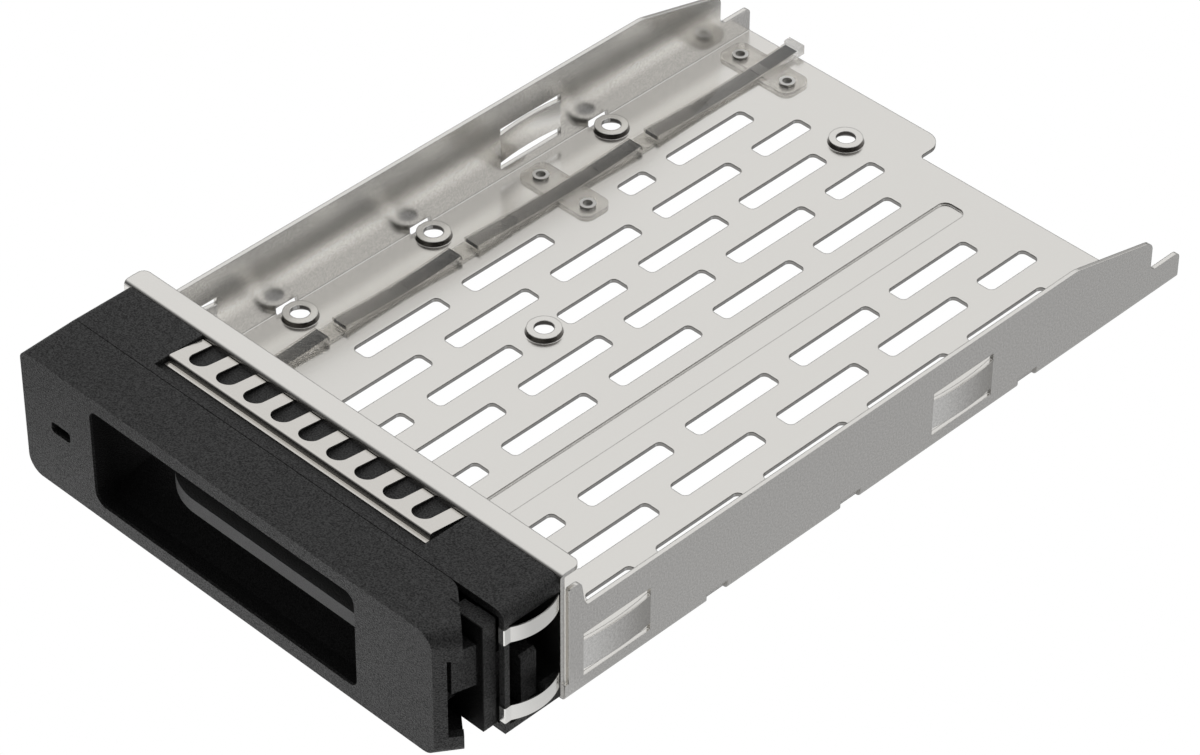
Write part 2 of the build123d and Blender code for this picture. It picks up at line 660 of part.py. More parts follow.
def light_pipe():
    """Clear bar on the floor, its riser inside the base, its ears and its rear block."""
    tip_y = at_y(-BASE_DEPTH + PIPE_TIP_BACK)
    riser_y = at_y(-PIPE_RISER_BACK)
    low = at_z(PIPE_LIFT)
    tip_z = at_z(PIPE_TIP_HEIGHT)
    half = PIPE_RISER_THICKNESS / 2
    left = PIPE_X - PIPE_WIDTH / 2
    right = PIPE_X + PIPE_WIDTH / 2
    bar = outline(
        (riser_y - half, low, PIPE_BEND + half),
        (riser_y - half, tip_z - half, PIPE_CORNER),
        (tip_y, tip_z - half),
        (tip_y, tip_z + half),
        (riser_y + half, tip_z + half, PIPE_BEND),
        (riser_y + half, at_z(PIPE_HEIGHT), PIPE_CORNER),
        (at_y(PAN_LENGTH), at_z(PIPE_HEIGHT)),
        (at_y(PAN_LENGTH), low),
    )
    cuts = []
    for front, rear in PIPE_LOW_STRETCHES:
        low_cut = (at_y(front), at_y(rear), at_z(PIPE_LOW_HEIGHT), at_z(2 * PIPE_HEIGHT))
        cuts.append(block(left - OVERSHOOT, right + OVERSHOOT, *low_cut))
    for front, rear in pipe_stretches():
        start = (at_y(front), at_z(PIPE_HEIGHT))
        end = (at_y(rear), at_z(PIPE_HEIGHT))
        lowest = ((start[0] + end[0]) / 2, at_z(PIPE_SAG_HEIGHT))
        sag = make_face([ThreePointArc(start, lowest, end), Line(end, start)])
        cuts.append(sideways(sag, left - OVERSHOOT, right + OVERSHOOT))
    for station in PIPE_MARKS:
        mark_floor = at_z(pipe_top(station) - PIPE_MARK_DEPTH)
        cuts.append(post(PIPE_X, at_y(station), mark_floor, at_z(2 * PIPE_HEIGHT), PIPE_MARK_RADIUS))
    pipe = sideways(bar, left, right) - cuts
    end_block = (at_y(PAN_LENGTH), at_y(PAN_LENGTH + PIPE_END_LENGTH), low, at_z(PIPE_END_HEIGHT))
    pipe = pipe + block(left, right, *end_block)
    for station in EAR_STATIONS:
        y = at_y(station)
        ear_x = PIPE_X + sum(RIVET_OFFSETS) / 2
        ear = Pos(ear_x, y) * RectangleRounded(EAR_SPAN, EAR_LENGTH, EAR_CORNER)
        pipe = pipe + upright(ear, low, at_z(EAR_THICKNESS))
        top = at_z(pipe_top(station))
        gusset = outline(
            (left - EAR_GUSSET_REACH, at_z(EAR_THICKNESS)),
            (right + EAR_GUSSET_REACH, at_z(EAR_THICKNESS)),
            (right, top),
            (left, top),
        )
        pipe = pipe + rearward(gusset, y - EAR_GUSSET_LENGTH / 2, y + EAR_GUSSET_LENGTH / 2)
    hole = RIVET_SHANK_RADIUS + SCREW_CLEARANCE
    return pipe - [post(x, y, FLOOR_TOP, at_z(2 * EAR_THICKNESS), hole) for x, y in rivet_places()]


def rivet(x, y):
    """Hollow rivet from under the floor, spread flat over the ear."""
    foot = at_z(-SHEET)
    head = at_z(EAR_THICKNESS)
    body = post(x, y, foot, head, RIVET_SHANK_RADIUS)
    body = body + post(x, y, foot - RIVET_FOOT_HEIGHT, foot, RIVET_FOOT_RADIUS)
    body = body + post(x, y, head, head + RIVET_HEAD_HEIGHT, RIVET_HEAD_RADIUS)
    return body - post(x, y, FLOOR_TOP, head + OVERSHOOT, RIVET_BORE_RADIUS)


# Base moulding


def hinge_y():
    """Y of the handle's hinge axis."""
    return at_y(-HINGE_FORWARD)


def lug_levels():
    """Heights of the lower and upper hinge lugs, inside the handle's shell."""
    low = HANDLE_WALL + LUG_END_GAP
    high = FRONT_HEIGHT - HANDLE_WALL - LUG_END_GAP
    return ((low, low + LUG_THICKNESS), (high - LUG_THICKNESS, high))


def lug(low, high):
    """One hinge lug, with its arm into the base and the slanted rib that carries it there."""
    face_y = at_y(-BASE_DEPTH)
    ring = post(HINGE_X, hinge_y(), at_z(low), at_z(high), LUG_RADIUS)
    arm = outline(
        (HINGE_X + LUG_ARM_LEFT[0], hinge_y() + LUG_ARM_LEFT[1]),
        (HINGE_X + LUG_ARM_RIGHT[0], hinge_y() + LUG_ARM_RIGHT[1]),
        (LUG_ROOT_RIGHT_X, face_y + OVERLAP),
        (LUG_ROOT_LEFT_X, face_y + OVERLAP),
    )
    lug_solid = ring + upright(arm, at_z(low), at_z(high))
    rib = outline(
        (LUG_ROOT_LEFT_X, face_y + HANDLE_SEAM),
        (LUG_ROOT_RIGHT_X, face_y + HANDLE_SEAM),
        (LUG_ROOT_RIGHT_X - LUG_RIB_SHIFT, at_y(-BASE_REAR_WALL / 2)),
        (LUG_ROOT_LEFT_X - LUG_RIB_SHIFT, at_y(-BASE_REAR_WALL / 2)),
    )
    rib_low = BASE_WALL / 2 if low < FRONT_HEIGHT / 2 else low
    rib_high = high if low < FRONT_HEIGHT / 2 else FRONT_HEIGHT - BASE_WALL / 2
    return lug_solid + upright(rib, at_z(rib_low), at_z(rib_high))


def bezel_base():
    """Hollow base behind the handle, open towards it and at its right side."""
    front = at_y(-BASE_DEPTH)
    rear = at_y(0)
    shell_view = outline(
        (FRONT_LEFT_X, at_z(0)),
        (BASE_RIGHT_X, at_z(0)),
        (BASE_RIGHT_X, at_z(FRONT_HEIGHT), BASE_TOP_FILLET),
        (FRONT_LEFT_X, at_z(FRONT_HEIGHT), BASE_TOP_FILLET),
    )
    base = rearward(shell_view, front, rear)
    under_recess = FRONT_HEIGHT - GASKET_RECESS_DEPTH - BASE_WALL
    main_cavity = block(
        FRONT_LEFT_X + BASE_WALL,
        CAM_BAY_LEFT_X,
        front - OVERSHOOT,
        rear - BASE_REAR_WALL,
        at_z(BASE_WALL),
        at_z(under_recess),
    )
    cam_bay = block(
        CAM_BAY_LEFT_X,
        BASE_RIGHT_X - BASE_RIGHT_WALL,
        front - OVERSHOOT,
        rear + OVERSHOOT,
        at_z(BASE_WALL),
        at_z(FRONT_HEIGHT - BASE_WALL),
    )
    base = base - [main_cavity, cam_bay]
    recess_roof = block(
        CAM_BAY_LEFT_X,
        GASKET_RECESS_RIGHT + BASE_WALL,
        at_y(-GASKET_RECESS_LENGTH - BASE_WALL),
        rear,
        at_z(under_recess),
        at_z(FRONT_HEIGHT - BASE_WALL / 2),
    )
    base = base + recess_roof
    for level in lug_levels():
        base = base + lug(*level)
    catch = block(
        CATCH_RIGHT_X - CATCH_WIDTH,
        CATCH_RIGHT_X,
        front + CATCH_SETBACK,
        rear - BASE_REAR_WALL / 2,
        at_z(BASE_WALL / 2),
        at_z(under_recess + BASE_WALL / 2),
    )
    base = base + catch
    bosses = []
    cuts = []
    for x in SCREW_XS:
        for height in SCREW_HEIGHTS:
            boss_front = rear - SCREW_BOSS_LENGTH
            bosses.append(stud(x, at_z(height), boss_front, rear - BASE_REAR_WALL / 2, SCREW_BOSS_RADIUS))
            hole_front = rear - SCREW_LENGTH - SCREW_END_GAP
            hole = SCREW_RADIUS + SCREW_CLEARANCE
            cuts.append(stud(x, at_z(height), hole_front, rear + OVERSHOOT, hole))
    base = base + bosses
    side = block(
        BASE_RIGHT_X - 2 * BASE_RIGHT_WALL,
        BASE_RIGHT_X + OVERSHOOT,
        front + SIDE_POST_DEPTH,
        rear - SIDE_SILL_LENGTH,
        at_z(BASE_WALL),
        at_z(SIDE_OPENING_TOP),
    )
    side_rear = block(
        BASE_RIGHT_X - 2 * BASE_RIGHT_WALL,
        BASE_RIGHT_X + OVERSHOOT,
        rear - SIDE_SILL_LENGTH - OVERLAP,
        rear + OVERSHOOT,
        at_z(SIDE_SILL_HEIGHT),
        at_z(SIDE_OPENING_TOP),
    )
    recess = block(
        GASKET_RECESS_LEFT,
        GASKET_RECESS_RIGHT,
        at_y(-GASKET_RECESS_LENGTH),
        rear + OVERSHOOT,
        at_z(FRONT_HEIGHT - GASKET_RECESS_DEPTH),
        at_z(FRONT_HEIGHT) + OVERSHOOT,
    )
    pipe_half = PIPE_WIDTH / 2 + PIPE_CLEARANCE
    pipe_door = block(
        PIPE_X - pipe_half,
        PIPE_X + pipe_half,
        rear - 2 * BASE_REAR_WALL,
        rear + OVERSHOOT,
        at_z(-PIPE_CLEARANCE),
        at_z(PIPE_HEIGHT + PIPE_CLEARANCE),
    )
    pipe_well = block(
        PIPE_X - pipe_half,
        PIPE_X + pipe_half,
        at_y(-PIPE_RISER_BACK) - PIPE_RISER_THICKNESS,
        rear,
        at_z(-PIPE_CLEARANCE),
        at_z(PIPE_RISER_THICKNESS),
    )
    pin_hole = post(HINGE_X, hinge_y(), at_z(0), at_z(FRONT_HEIGHT), HINGE_PIN_RADIUS + HINGE_SEAT_GAP)
    return base - (cuts + [side, side_rear, recess, pipe_door, pipe_well, pin_hole])


def screw(x, height):
    """Pan head screw through the front wall from inside the pan into the base."""
    seat = at_y(SHEET)
    z = at_z(height)
    body = stud(x, z, at_y(-SCREW_LENGTH), seat, SCREW_RADIUS)
    body = body + stud(x, z, seat, seat + SCREW_HEAD_HEIGHT, SCREW_HEAD_RADIUS)
    top = seat + SCREW_HEAD_HEIGHT
    return body - stud(x, z, top - SCREW_SOCKET_DEPTH, top + OVERSHOOT, SCREW_SOCKET_RADIUS)


# Handle moulding


def swing_point(radius, degrees):
    """Point at a radius and an angle round the hinge axis, in plan."""
    angle = math.radians(degrees)
    return (HINGE_X + radius * math.cos(angle), hinge_y() + radius * math.sin(angle))


def handle_corners():
    """Arc ends of the heel round the hinge, the nose and the front right corner, in plan."""
    heel = HINGE_FORWARD - BASE_DEPTH - HANDLE_SEAM
    start = swing_point(heel, 90)
    middle = swing_point(heel, 90 - HINGE_SWING / 2)
    end = swing_point(heel, 90 - HINGE_SWING)
    nose = (NOSE_X, end[1] - (NOSE_X - end[0]) * math.tan(math.radians(HINGE_SWING)))
    front_right = (HANDLE_FRONT_RIGHT_X, at_y(-BASE_DEPTH - HANDLE_SEAM - HANDLE_DEPTH))
    return start, middle, end, nose, front_right


def handle_body_plan():
    """Outer plan of the handle: square at the left, a wedge that clears the base at the right."""
    start, middle, end, nose, front_right = handle_corners()
    rear_left = (FRONT_LEFT_X, at_y(-BASE_DEPTH - HANDLE_SEAM))
    front_left = (HANDLE_FRONT_LEFT_X, front_right[1])
    edges = [
        Line(rear_left, start),
        ThreePointArc(start, middle, end),
        Line(end, nose),
        Line(nose, front_right),
        Line(front_right, front_left),
        Line(front_left, rear_left),
    ]
    return make_face(edges)


def handle_hollow_plan():
    """Plan of the hollow: the outer plan run on past its open rear, less one wall all round."""
    nose, front_right = handle_corners()[-2:]
    past = at_y(-BASE_DEPTH) + 2 * HANDLE_DEPTH
    lean = (nose[0] - front_right[0]) / (nose[1] - front_right[1])
    open_nose = (nose[0] + HOLLOW_RUN_ON * lean, nose[1] + HOLLOW_RUN_ON)
    wide = outline(
        (FRONT_LEFT_X, past),
        (HANDLE_FRONT_LEFT_X, front_right[1]),
        front_right,
        open_nose,
        (open_nose[0], past),
    )
    return offset(wide, -HANDLE_WALL, kind=Kind.INTERSECTION)


def pocket_floor_plan(grow):
    """Plan of the scooped pocket behind the jambs, with large round ends."""
    face_y = handle_corners()[-1][1]
    return outline(
        (WINDOW_LEFT_X - grow, face_y - OVERSHOOT),
        (WINDOW_RIGHT_X + grow, face_y - OVERSHOOT),
        (WINDOW_RIGHT_X + grow, face_y + SCOOP_DEPTH + grow, SCOOP_END_RADIUS + grow),
        (WINDOW_LEFT_X - grow, face_y + SCOOP_DEPTH + grow, SCOOP_END_RADIUS + grow),
    )


def pocket_section(grow):
    """Side view of the pocket: straight jambs and a round scoop behind them."""
    face_y = handle_corners()[-1][1]
    jamb_y = face_y + JAMB_DEPTH
    outside_y = face_y - OVERSHOOT
    low = at_z(WINDOW_LOW - grow)
    high = at_z(WINDOW_HIGH + grow)
    deep = (face_y + SCOOP_DEPTH + grow, (low + high) / 2)
    edges = [
        Line((outside_y, low), (jamb_y, low)),
        ThreePointArc((jamb_y, low), deep, (jamb_y, high)),
        Line((jamb_y, high), (outside_y, high)),
        Line((outside_y, high), (outside_y, low)),
    ]
    return make_face(edges)


def pocket(grow):
    """The pocket's own space, or that space and its skin where grow isn't 0."""
    across = sideways(pocket_section(grow), WINDOW_LEFT_X - grow, WINDOW_RIGHT_X + grow)
    return across & upright(pocket_floor_plan(grow), -REACH, REACH)


def lever_space(gap):
    """Plan of the release lever's plate, or the slot it moves in where gap isn't 0."""
    face_y = handle_corners()[-1][1]
    front = face_y + LEVER_FRONT_BACK - gap
    rear = at_y(-LEVER_REAR_FORWARD) + gap
    radius = LEVER_CORNER + gap
    turn = math.acos((front + radius - rear) / radius)
    centre = Vector(LEVER_STRAIGHT_LEFT_X, front + radius)
    middle = centre - Vector(radius * math.sin(turn / 2), radius * math.cos(turn / 2))
    rear_left = centre - Vector(radius * math.sin(turn), radius * math.cos(turn))
    edges = [
        Line((LEVER_STRAIGHT_LEFT_X, front), (LEVER_PIVOT_X, front)),
        Line((LEVER_PIVOT_X, front), (LEVER_PIVOT_X, rear)),
        Line((LEVER_PIVOT_X, rear), rear_left),
        ThreePointArc(rear_left, middle, (LEVER_STRAIGHT_LEFT_X, front)),
    ]
    return make_face(edges)


def rounded_body():
    """The handle's outer block with its two left and two right long corners rounded."""
    body = upright(handle_body_plan(), at_z(0), at_z(FRONT_HEIGHT))
    left = body.edges().filter_by(Axis.Y, tolerance=5).group_by(Axis.X)[0].sort_by(Axis.Z)
    body = fillet(left[-1], CORNER_TOP_LEFT)
    left = body.edges().filter_by(Axis.Y, tolerance=5).group_by(Axis.X)[0].sort_by(Axis.Z)
    body = fillet(left[0], CORNER_BOTTOM_LEFT)
    for top, radius in ((True, CORNER_TOP_RIGHT), (False, CORNER_BOTTOM_RIGHT)):
        level = at_z(FRONT_HEIGHT) if top else at_z(0)
        edges = body.edges().filter_by_position(Axis.Z, level, level)
        right = edges.filter_by(lambda edge: edge.center().X > HANDLE_FRONT_RIGHT_X)
        body = fillet(right, radius)
    return body


def window_space():
    """The pocket behind the window, with the window's four corner radii carried inward."""
    face_y = handle_corners()[-1][1]
    window = outline(
        (WINDOW_LEFT_X, at_z(WINDOW_LOW), WINDOW_BOTTOM_LEFT),
        (WINDOW_RIGHT_X, at_z(WINDOW_LOW), WINDOW_BOTTOM_RIGHT),
        (WINDOW_RIGHT_X, at_z(WINDOW_HIGH), WINDOW_TOP_RIGHT),
        (WINDOW_LEFT_X, at_z(WINDOW_HIGH), WINDOW_TOP_LEFT),
    )
    return pocket(0) & rearward(window, face_y - OVERSHOOT, face_y + 2 * SCOOP_DEPTH)


def shelf_levels():
    """Heights of the lower and upper shelves that hold the lever's pin."""
    low_top = LEVER_LOW - LEVER_GAP
    high_foot = LEVER_HIGH + SPRING_SPACE
    return ((low_top - LEVER_SHELF, low_top), (high_foot, high_foot + LEVER_SHELF))


def handle():
    """Hollow front handle with its window, pocket, light hole, hinge wedge and inner bosses."""
    nose, front_right = handle_corners()[-2:]
    face_y = front_right[1]
    inner_y = face_y + HANDLE_WALL / 2
    body = rounded_body()
    body = body - upright(handle_hollow_plan(), at_z(HANDLE_WALL), at_z(FRONT_HEIGHT - HANDLE_WALL))
    within = block(
        -REACH,
        REACH,
        inner_y,
        at_y(0),
        at_z(HANDLE_WALL / 2),
        at_z(FRONT_HEIGHT - HANDLE_WALL / 2),
    )
    body = body + (pocket(SCOOP_SKIN) & within)
    shelf_left = WINDOW_RIGHT_X + SCOOP_SKIN / 2
    shelf_right = LEVER_PIVOT_X + LEVER_SHELF_REACH
    shelf_rear = at_y(-LEVER_PIVOT_FORWARD) + LEVER_HUB_RADIUS
    for low, high in shelf_levels():
        body = body + block(shelf_left, shelf_right, inner_y, shelf_rear, at_z(low), at_z(high))
    boss_end = at_y(-BLOCK_FORWARD)
    for height in CAM_SCREW_HEIGHTS:
        body = body + stud(CAM_SCREW_X, at_z(height), inner_y, boss_end, CAM_BOSS_RADIUS)
    cuts = [window_space()]
    slot_low = at_z(LEVER_LOW - LEVER_GAP)
    slot_high = at_z(LEVER_HIGH + LEVER_GAP)
    cuts.append(upright(lever_space(LEVER_GAP), slot_low, slot_high))
    light = Pos(PIPE_X - LIGHT_HOLE_SHIFT, at_z(PIPE_TIP_HEIGHT)) * RectangleRounded(
        LIGHT_HOLE_WIDTH, LIGHT_HOLE_HEIGHT, LIGHT_HOLE_CORNER
    )
    cuts.append(rearward(light, face_y - OVERSHOOT, face_y + 2 * HANDLE_WALL))
    notch = block(
        front_right[0] - OVERSHOOT,
        nose[0] + OVERSHOOT,
        nose[1] - NOTCH_DEPTH,
        at_y(0),
        at_z(NOTCH_LOW),
        at_z(NOTCH_HIGH),
    )
    cuts.append(notch)
    for height in CAM_SCREW_HEIGHTS:
        hole = CAM_SCREW_RADIUS + SCREW_CLEARANCE
        cuts.append(stud(CAM_SCREW_X, at_z(height), face_y + HANDLE_WALL, boss_end + OVERSHOOT, hole))
    lower, upper = shelf_levels()
    hole = LEVER_PIN_RADIUS + HINGE_SEAT_GAP
    pin_low = at_z(lower[0]) - OVERSHOOT
    pin_high = at_z(upper[1]) + OVERSHOOT
    cuts.append(post(LEVER_PIVOT_X, at_y(-LEVER_PIVOT_FORWARD), pin_low, pin_high, hole))
    return body - cuts


# Cam arm behind the handle's right end


def cam_arm():
    """Hub on the hinge pin, slab and block behind the handle's nose, and the arm with its pawl."""
    low = at_z(BASE_WALL + CAM_END_GAP)
    high = at_z(FRONT_HEIGHT - BASE_WALL - CAM_END_GAP)
    levels = lug_levels()
    hub_low = at_z(levels[0][1] + LUG_SIDE_GAP)
    hub_high = at_z(levels[1][0] - LUG_SIDE_GAP)
    slab_front = at_y(-SLAB_FRONT_FORWARD)
    slab_rear = at_y(-SLAB_REAR_FORWARD)
    slab = outline(
        (SLAB_LEFT_X, slab_front),
        (CAM_RIGHT_X, slab_front),
        (CAM_RIGHT_X, slab_rear, SLAB_CORNER),
        (SLAB_STEP_X, slab_rear),
        (SLAB_STEP_X, slab_rear - SLAB_STEP),
        (SLAB_LEFT_X, slab_rear - SLAB_STEP),
    )
    arm_body = upright(slab, low, high)
    hub = post(HINGE_X, hinge_y(), hub_low, hub_high, LUG_RADIUS)
    web = outline(
        (HINGE_X, hinge_y() + LUG_RADIUS),
        (HINGE_X, hinge_y() - LUG_RADIUS),
        (SLAB_LEFT_X + OVERLAP, hinge_y() - LUG_RADIUS),
        (SLAB_LEFT_X + OVERLAP, hinge_y() + LUG_RADIUS),
    )
    arm_body = arm_body + hub + upright(web, hub_low, hub_high)
    front_block = outline(
        (HINGE_X + HINGE_TO_BLOCK_LEFT, slab_front + OVERLAP),
        (HINGE_X + HINGE_TO_BLOCK_LEFT, at_y(-BLOCK_FORWARD)),
        (HINGE_X + HINGE_TO_BLOCK_FRONT, at_y(-BLOCK_FORWARD)),
        (HINGE_X + HINGE_TO_BLOCK_REAR, slab_front),
        (HINGE_X + HINGE_TO_BLOCK_REAR, slab_front + OVERLAP),
    )
    arm_body = arm_body + upright(front_block, at_z(BLOCK_LOW), at_z(BLOCK_HIGH))
    pawl_front = at_y(-PAWL_FRONT_FORWARD)
    pawl_rear = at_y(-PAWL_REAR_FORWARD)
    arm = outline(
        (SLAB_LEFT_X, slab_rear - OVERSHOOT),
        (ARM_RIGHT_X, slab_rear - OVERSHOOT),
        (ARM_RIGHT_X, pawl_front, ARM_CORNER),
        (CAM_RIGHT_X, pawl_front),
        (CAM_RIGHT_X, pawl_rear),
        (PAWL_LEFT_X, pawl_rear, ARM_CORNER),
        (SLAB_LEFT_X, pawl_front),
    )
    arm_solid = upright(arm, at_z(ARM_LOW), at_z(ARM_HIGH))
    top = arm_solid.faces().sort_by(Axis.Z)[-1]
    tip_edges = top.edges().sort_by(Axis.X)[-1]
    arm_solid = chamfer(tip_edges, PAWL_CHAMFER)
    arm_body = arm_body + arm_solid
    cuts = [post(HINGE_X, hinge_y(), low, high, HINGE_PIN_RADIUS + HINGE_RUNNING_GAP)]
    block_face = at_y(-BLOCK_FORWARD)
    rear = slab_rear + OVERSHOOT
    hole = CAM_SCREW_RADIUS + SCREW_CLEARANCE
    head_hole = CAM_SCREW_HEAD_RADIUS + SCREW_CLEARANCE
    for height in CAM_SCREW_HEIGHTS:
        z = at_z(height)
        cuts.append(stud(CAM_SCREW_X, z, block_face - OVERSHOOT, rear, hole))
        cuts.append(stud(CAM_SCREW_X, z, block_face + CAM_SCREW_SEAT, rear, head_hole))
    return arm_body - cuts


def cam_screw(height):
    """Small screw that holds the cam arm on the handle's boss."""
    z = at_z(height)
    seat = at_y(-BLOCK_FORWARD) + CAM_SCREW_SEAT
    body = stud(CAM_SCREW_X, z, seat - CAM_SCREW_LENGTH, seat, CAM_SCREW_RADIUS)
    return body + stud(CAM_SCREW_X, z, seat, seat + CAM_SCREW_HEAD_HEIGHT, CAM_SCREW_HEAD_RADIUS)


def hinge_pin():
    """Plain pin in the base's two lugs, kept in by the handle's top and bottom walls."""
    low = at_z(HANDLE_WALL + HINGE_PIN_END_GAP)
    high = at_z(FRONT_HEIGHT - HANDLE_WALL - HINGE_PIN_END_GAP)
    pin = post(HINGE_X, hinge_y(), low, high, HINGE_PIN_RADIUS)
    return chamfer(pin.edges(), HINGE_PIN_CHAMFER)


# Release lever


def release_lever():
    """Flat lever whose rounded left end shows in the window, with the hook on its short arm."""
    pin_y = at_y(-LEVER_PIVOT_FORWARD)
    low = at_z(LEVER_LOW)
    high = at_z(LEVER_HIGH)
    lever = upright(lever_space(0), low, high)
    lever = lever + post(LEVER_PIVOT_X, pin_y, low, high, LEVER_HUB_RADIUS)
    hook_right = LEVER_PIVOT_X + HOOK_WIDTH / 2
    hook_left = LEVER_PIVOT_X - HOOK_WIDTH / 2
    hook_rear = at_y(-HOOK_REAR_FORWARD)
    hook = outline(
        (hook_right, pin_y),
        (hook_right, hook_rear, HOOK_CORNER),
        (hook_left - HOOK_TIP_LENGTH, hook_rear, HOOK_CORNER),
        (hook_left - HOOK_TIP_LENGTH, hook_rear - HOOK_TIP_DEPTH),
        (hook_left, hook_rear - HOOK_TIP_DEPTH),
        (hook_left, pin_y),
    )
    lever = lever + upright(hook, low, high)
    return lever - post(LEVER_PIVOT_X, pin_y, low, high, LEVER_PIN_RADIUS + HINGE_RUNNING_GAP)


def lever_pin():
    """Pin of the release lever, held in the handle's two small shelves."""
    lower, upper = shelf_levels()
    pin_y = at_y(-LEVER_PIVOT_FORWARD)
    pin = post(LEVER_PIVOT_X, pin_y, at_z(lower[0]), at_z(upper[1]), LEVER_PIN_RADIUS)
    return chamfer(pin.edges(), LEVER_PIN_CHAMFER)


def lever_spring():
    """Hairpin of flat strip round the lever's pin, between the lever and the upper shelf."""
    inner = LEVER_PIN_RADIUS + SPRING_SIDE_GAP
    outer = inner + SPRING_THICKNESS
    edges = [
        ThreePointArc((outer, 0), (0, outer), (-outer, 0)),
        Line((-outer, 0), (-outer, -SPRING_LEG)),
        Line((-outer, -SPRING_LEG), (-inner, -SPRING_LEG)),
        Line((-inner, -SPRING_LEG), (-inner, 0)),
        ThreePointArc((-inner, 0), (0, inner), (inner, 0)),
        Line((inner, 0), (inner, -SPRING_LEG)),
        Line((inner, -SPRING_LEG), (outer, -SPRING_LEG)),
        Line((outer, -SPRING_LEG), (outer, 0)),
    ]
    plan = Pos(LEVER_PIVOT_X, at_y(-LEVER_PIVOT_FORWARD)) * make_face(edges)
    low = at_z(LEVER_HIGH + SPRING_SIDE_GAP)
    return upright(plan, low, low + SPRING_SPACE - 2 * SPRING_SIDE_GAP)


# Stamped contact springs


def top_finger_gasket():
    """Stamped strip in the base's top recess: a bent front edge and ten fingers that dip rearward."""
    lip = at_y(-GASKET_LIP)
    riser = at_y(-GASKET_RISER)
    foot = riser - GASKET_RISER_LEAN
    rear = at_y(-GASKET_REAR_GAP)
    floor = at_z(FRONT_HEIGHT - GASKET_RECESS_DEPTH)
    top = at_z(FRONT_HEIGHT + GASKET_PROUD)
    section = outline(
        (lip, floor),
        (foot + STRIP, floor, STRIP),
        (riser + STRIP, top - STRIP, STRIP),
        (rear, top - GASKET_DROP - STRIP),
        (rear, top - GASKET_DROP),
        (riser, top, 2 * STRIP),
        (foot, floor + STRIP),
        (lip, floor + STRIP),
    )
    left = GASKET_RECESS_LEFT + GASKET_LEFT_GAP
    strip = sideways(section, left, GASKET_RECESS_RIGHT - GASKET_RIGHT_GAP)
    slot_front = at_y(-FINGER_SLOT_FRONT)
    radius = FINGER_SLOT_WIDTH / 2
    slots = []
    for i in range(FINGER_SLOT_COUNT):
        x = FINGER_SLOT_MIDDLE_X + (i - FINGER_SLOT_COUNT // 2) * FINGER_PITCH
        centre = slot_front + radius
        slots.append(post(x, centre, floor, top + OVERSHOOT, radius))
        slots.append(block(x - radius, x + radius, centre, at_y(0), floor, top + OVERSHOOT))
    return strip - slots


def side_contact_spring():
    """Two like bands across the side opening, bowed outward, each wrapped round the front post."""
    face_x = BASE_RIGHT_X
    front = at_y(-BASE_DEPTH)
    rear = at_y(-BAND_REAR_GAP)
    foot = front + BAND_FOOT
    middle = (foot + rear) / 2
    edges = [
        Line((face_x, rear), (face_x + STRIP, rear)),
        ThreePointArc((face_x + STRIP, rear), (face_x + BAND_BOW, middle), (face_x + STRIP, foot)),
        Line((face_x + STRIP, foot), (face_x, foot)),
        ThreePointArc((face_x, foot), (face_x + BAND_BOW - STRIP, middle), (face_x, rear)),
    ]
    wrap = outline(
        (face_x + STRIP, foot),
        (face_x, foot),
        (face_x, front),
        (face_x - BAND_WRAP, front),
        (face_x - BAND_WRAP, front - STRIP),
        (face_x + STRIP, front - STRIP, STRIP),
    )
    low = at_z(BAND_LOW)
    high = at_z(SIDE_OPENING_TOP - BAND_TOP_GAP - BAND_WIDTH)
    band = upright(make_face(edges), low, low + BAND_WIDTH) + upright(wrap, low, low + BAND_WIDTH)
    return Compound([band, Pos(0, 0, high - low) * band])


def all_parts():
    """Every piece by its name."""
    parts = {
        "tray_pan": tray_pan(),
        "light_pipe": light_pipe(),
        "bezel_base": bezel_base(),
        "handle": handle(),
        "cam_arm": cam_arm(),
        "hinge_pin": hinge_pin(),
        "release_lever": release_lever(),
        "lever_pin": lever_pin(),
        "lever_spring": lever_spring(),
        "top_finger_gasket": top_finger_gasket(),
        "side_contact_spring": side_contact_spring(),
    }
    for i, (x, y) in enumerate(rivet_places()):
        parts[f"light_pipe_rivet_{i + 1}"] = rivet(x, y)
    for i, x in enumerate(SCREW_XS):
        for j, height in enumerate(SCREW_HEIGHTS):
            parts[f"bezel_screw_{2 * i + j + 1}"] = screw(x, height)
    for i, height in enumerate(CAM_SCREW_HEIGHTS):
        parts[f"cam_screw_{i + 1}"] = cam_screw(height)
    return parts


os.makedirs("parts", exist_ok=True)
for name, solid in all_parts().items():
    export_step(solid, f"parts/{name}.step")
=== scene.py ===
# %% [markdown]
# # A hot swap drive caddy
# The caddy is a folded steel tray with a black moulded front, a swinging handle and a clear light
# pipe. Every piece has a real shape and size already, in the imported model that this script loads.
# What is added here is the finish of each piece, the studio round it and the camera. Another way
# would be to model the pieces again in Blender, but then the two models could drift apart.

# %% Load the frame
import math
import bpy
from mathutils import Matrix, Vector


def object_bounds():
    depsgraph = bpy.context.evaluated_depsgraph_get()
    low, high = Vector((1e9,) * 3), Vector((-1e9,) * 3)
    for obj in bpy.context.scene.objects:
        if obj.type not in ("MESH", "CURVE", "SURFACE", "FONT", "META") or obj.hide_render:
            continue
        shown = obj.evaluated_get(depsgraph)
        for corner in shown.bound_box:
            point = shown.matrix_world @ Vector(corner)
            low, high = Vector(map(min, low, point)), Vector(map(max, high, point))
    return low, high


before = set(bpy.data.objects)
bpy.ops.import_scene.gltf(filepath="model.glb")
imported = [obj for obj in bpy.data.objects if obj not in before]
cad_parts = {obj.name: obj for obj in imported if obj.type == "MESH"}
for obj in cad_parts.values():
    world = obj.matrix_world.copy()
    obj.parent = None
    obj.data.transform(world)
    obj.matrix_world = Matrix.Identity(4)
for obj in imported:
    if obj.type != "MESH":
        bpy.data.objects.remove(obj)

cad_low, cad_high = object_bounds()
print("CAD box", tuple(cad_low), tuple(cad_high))

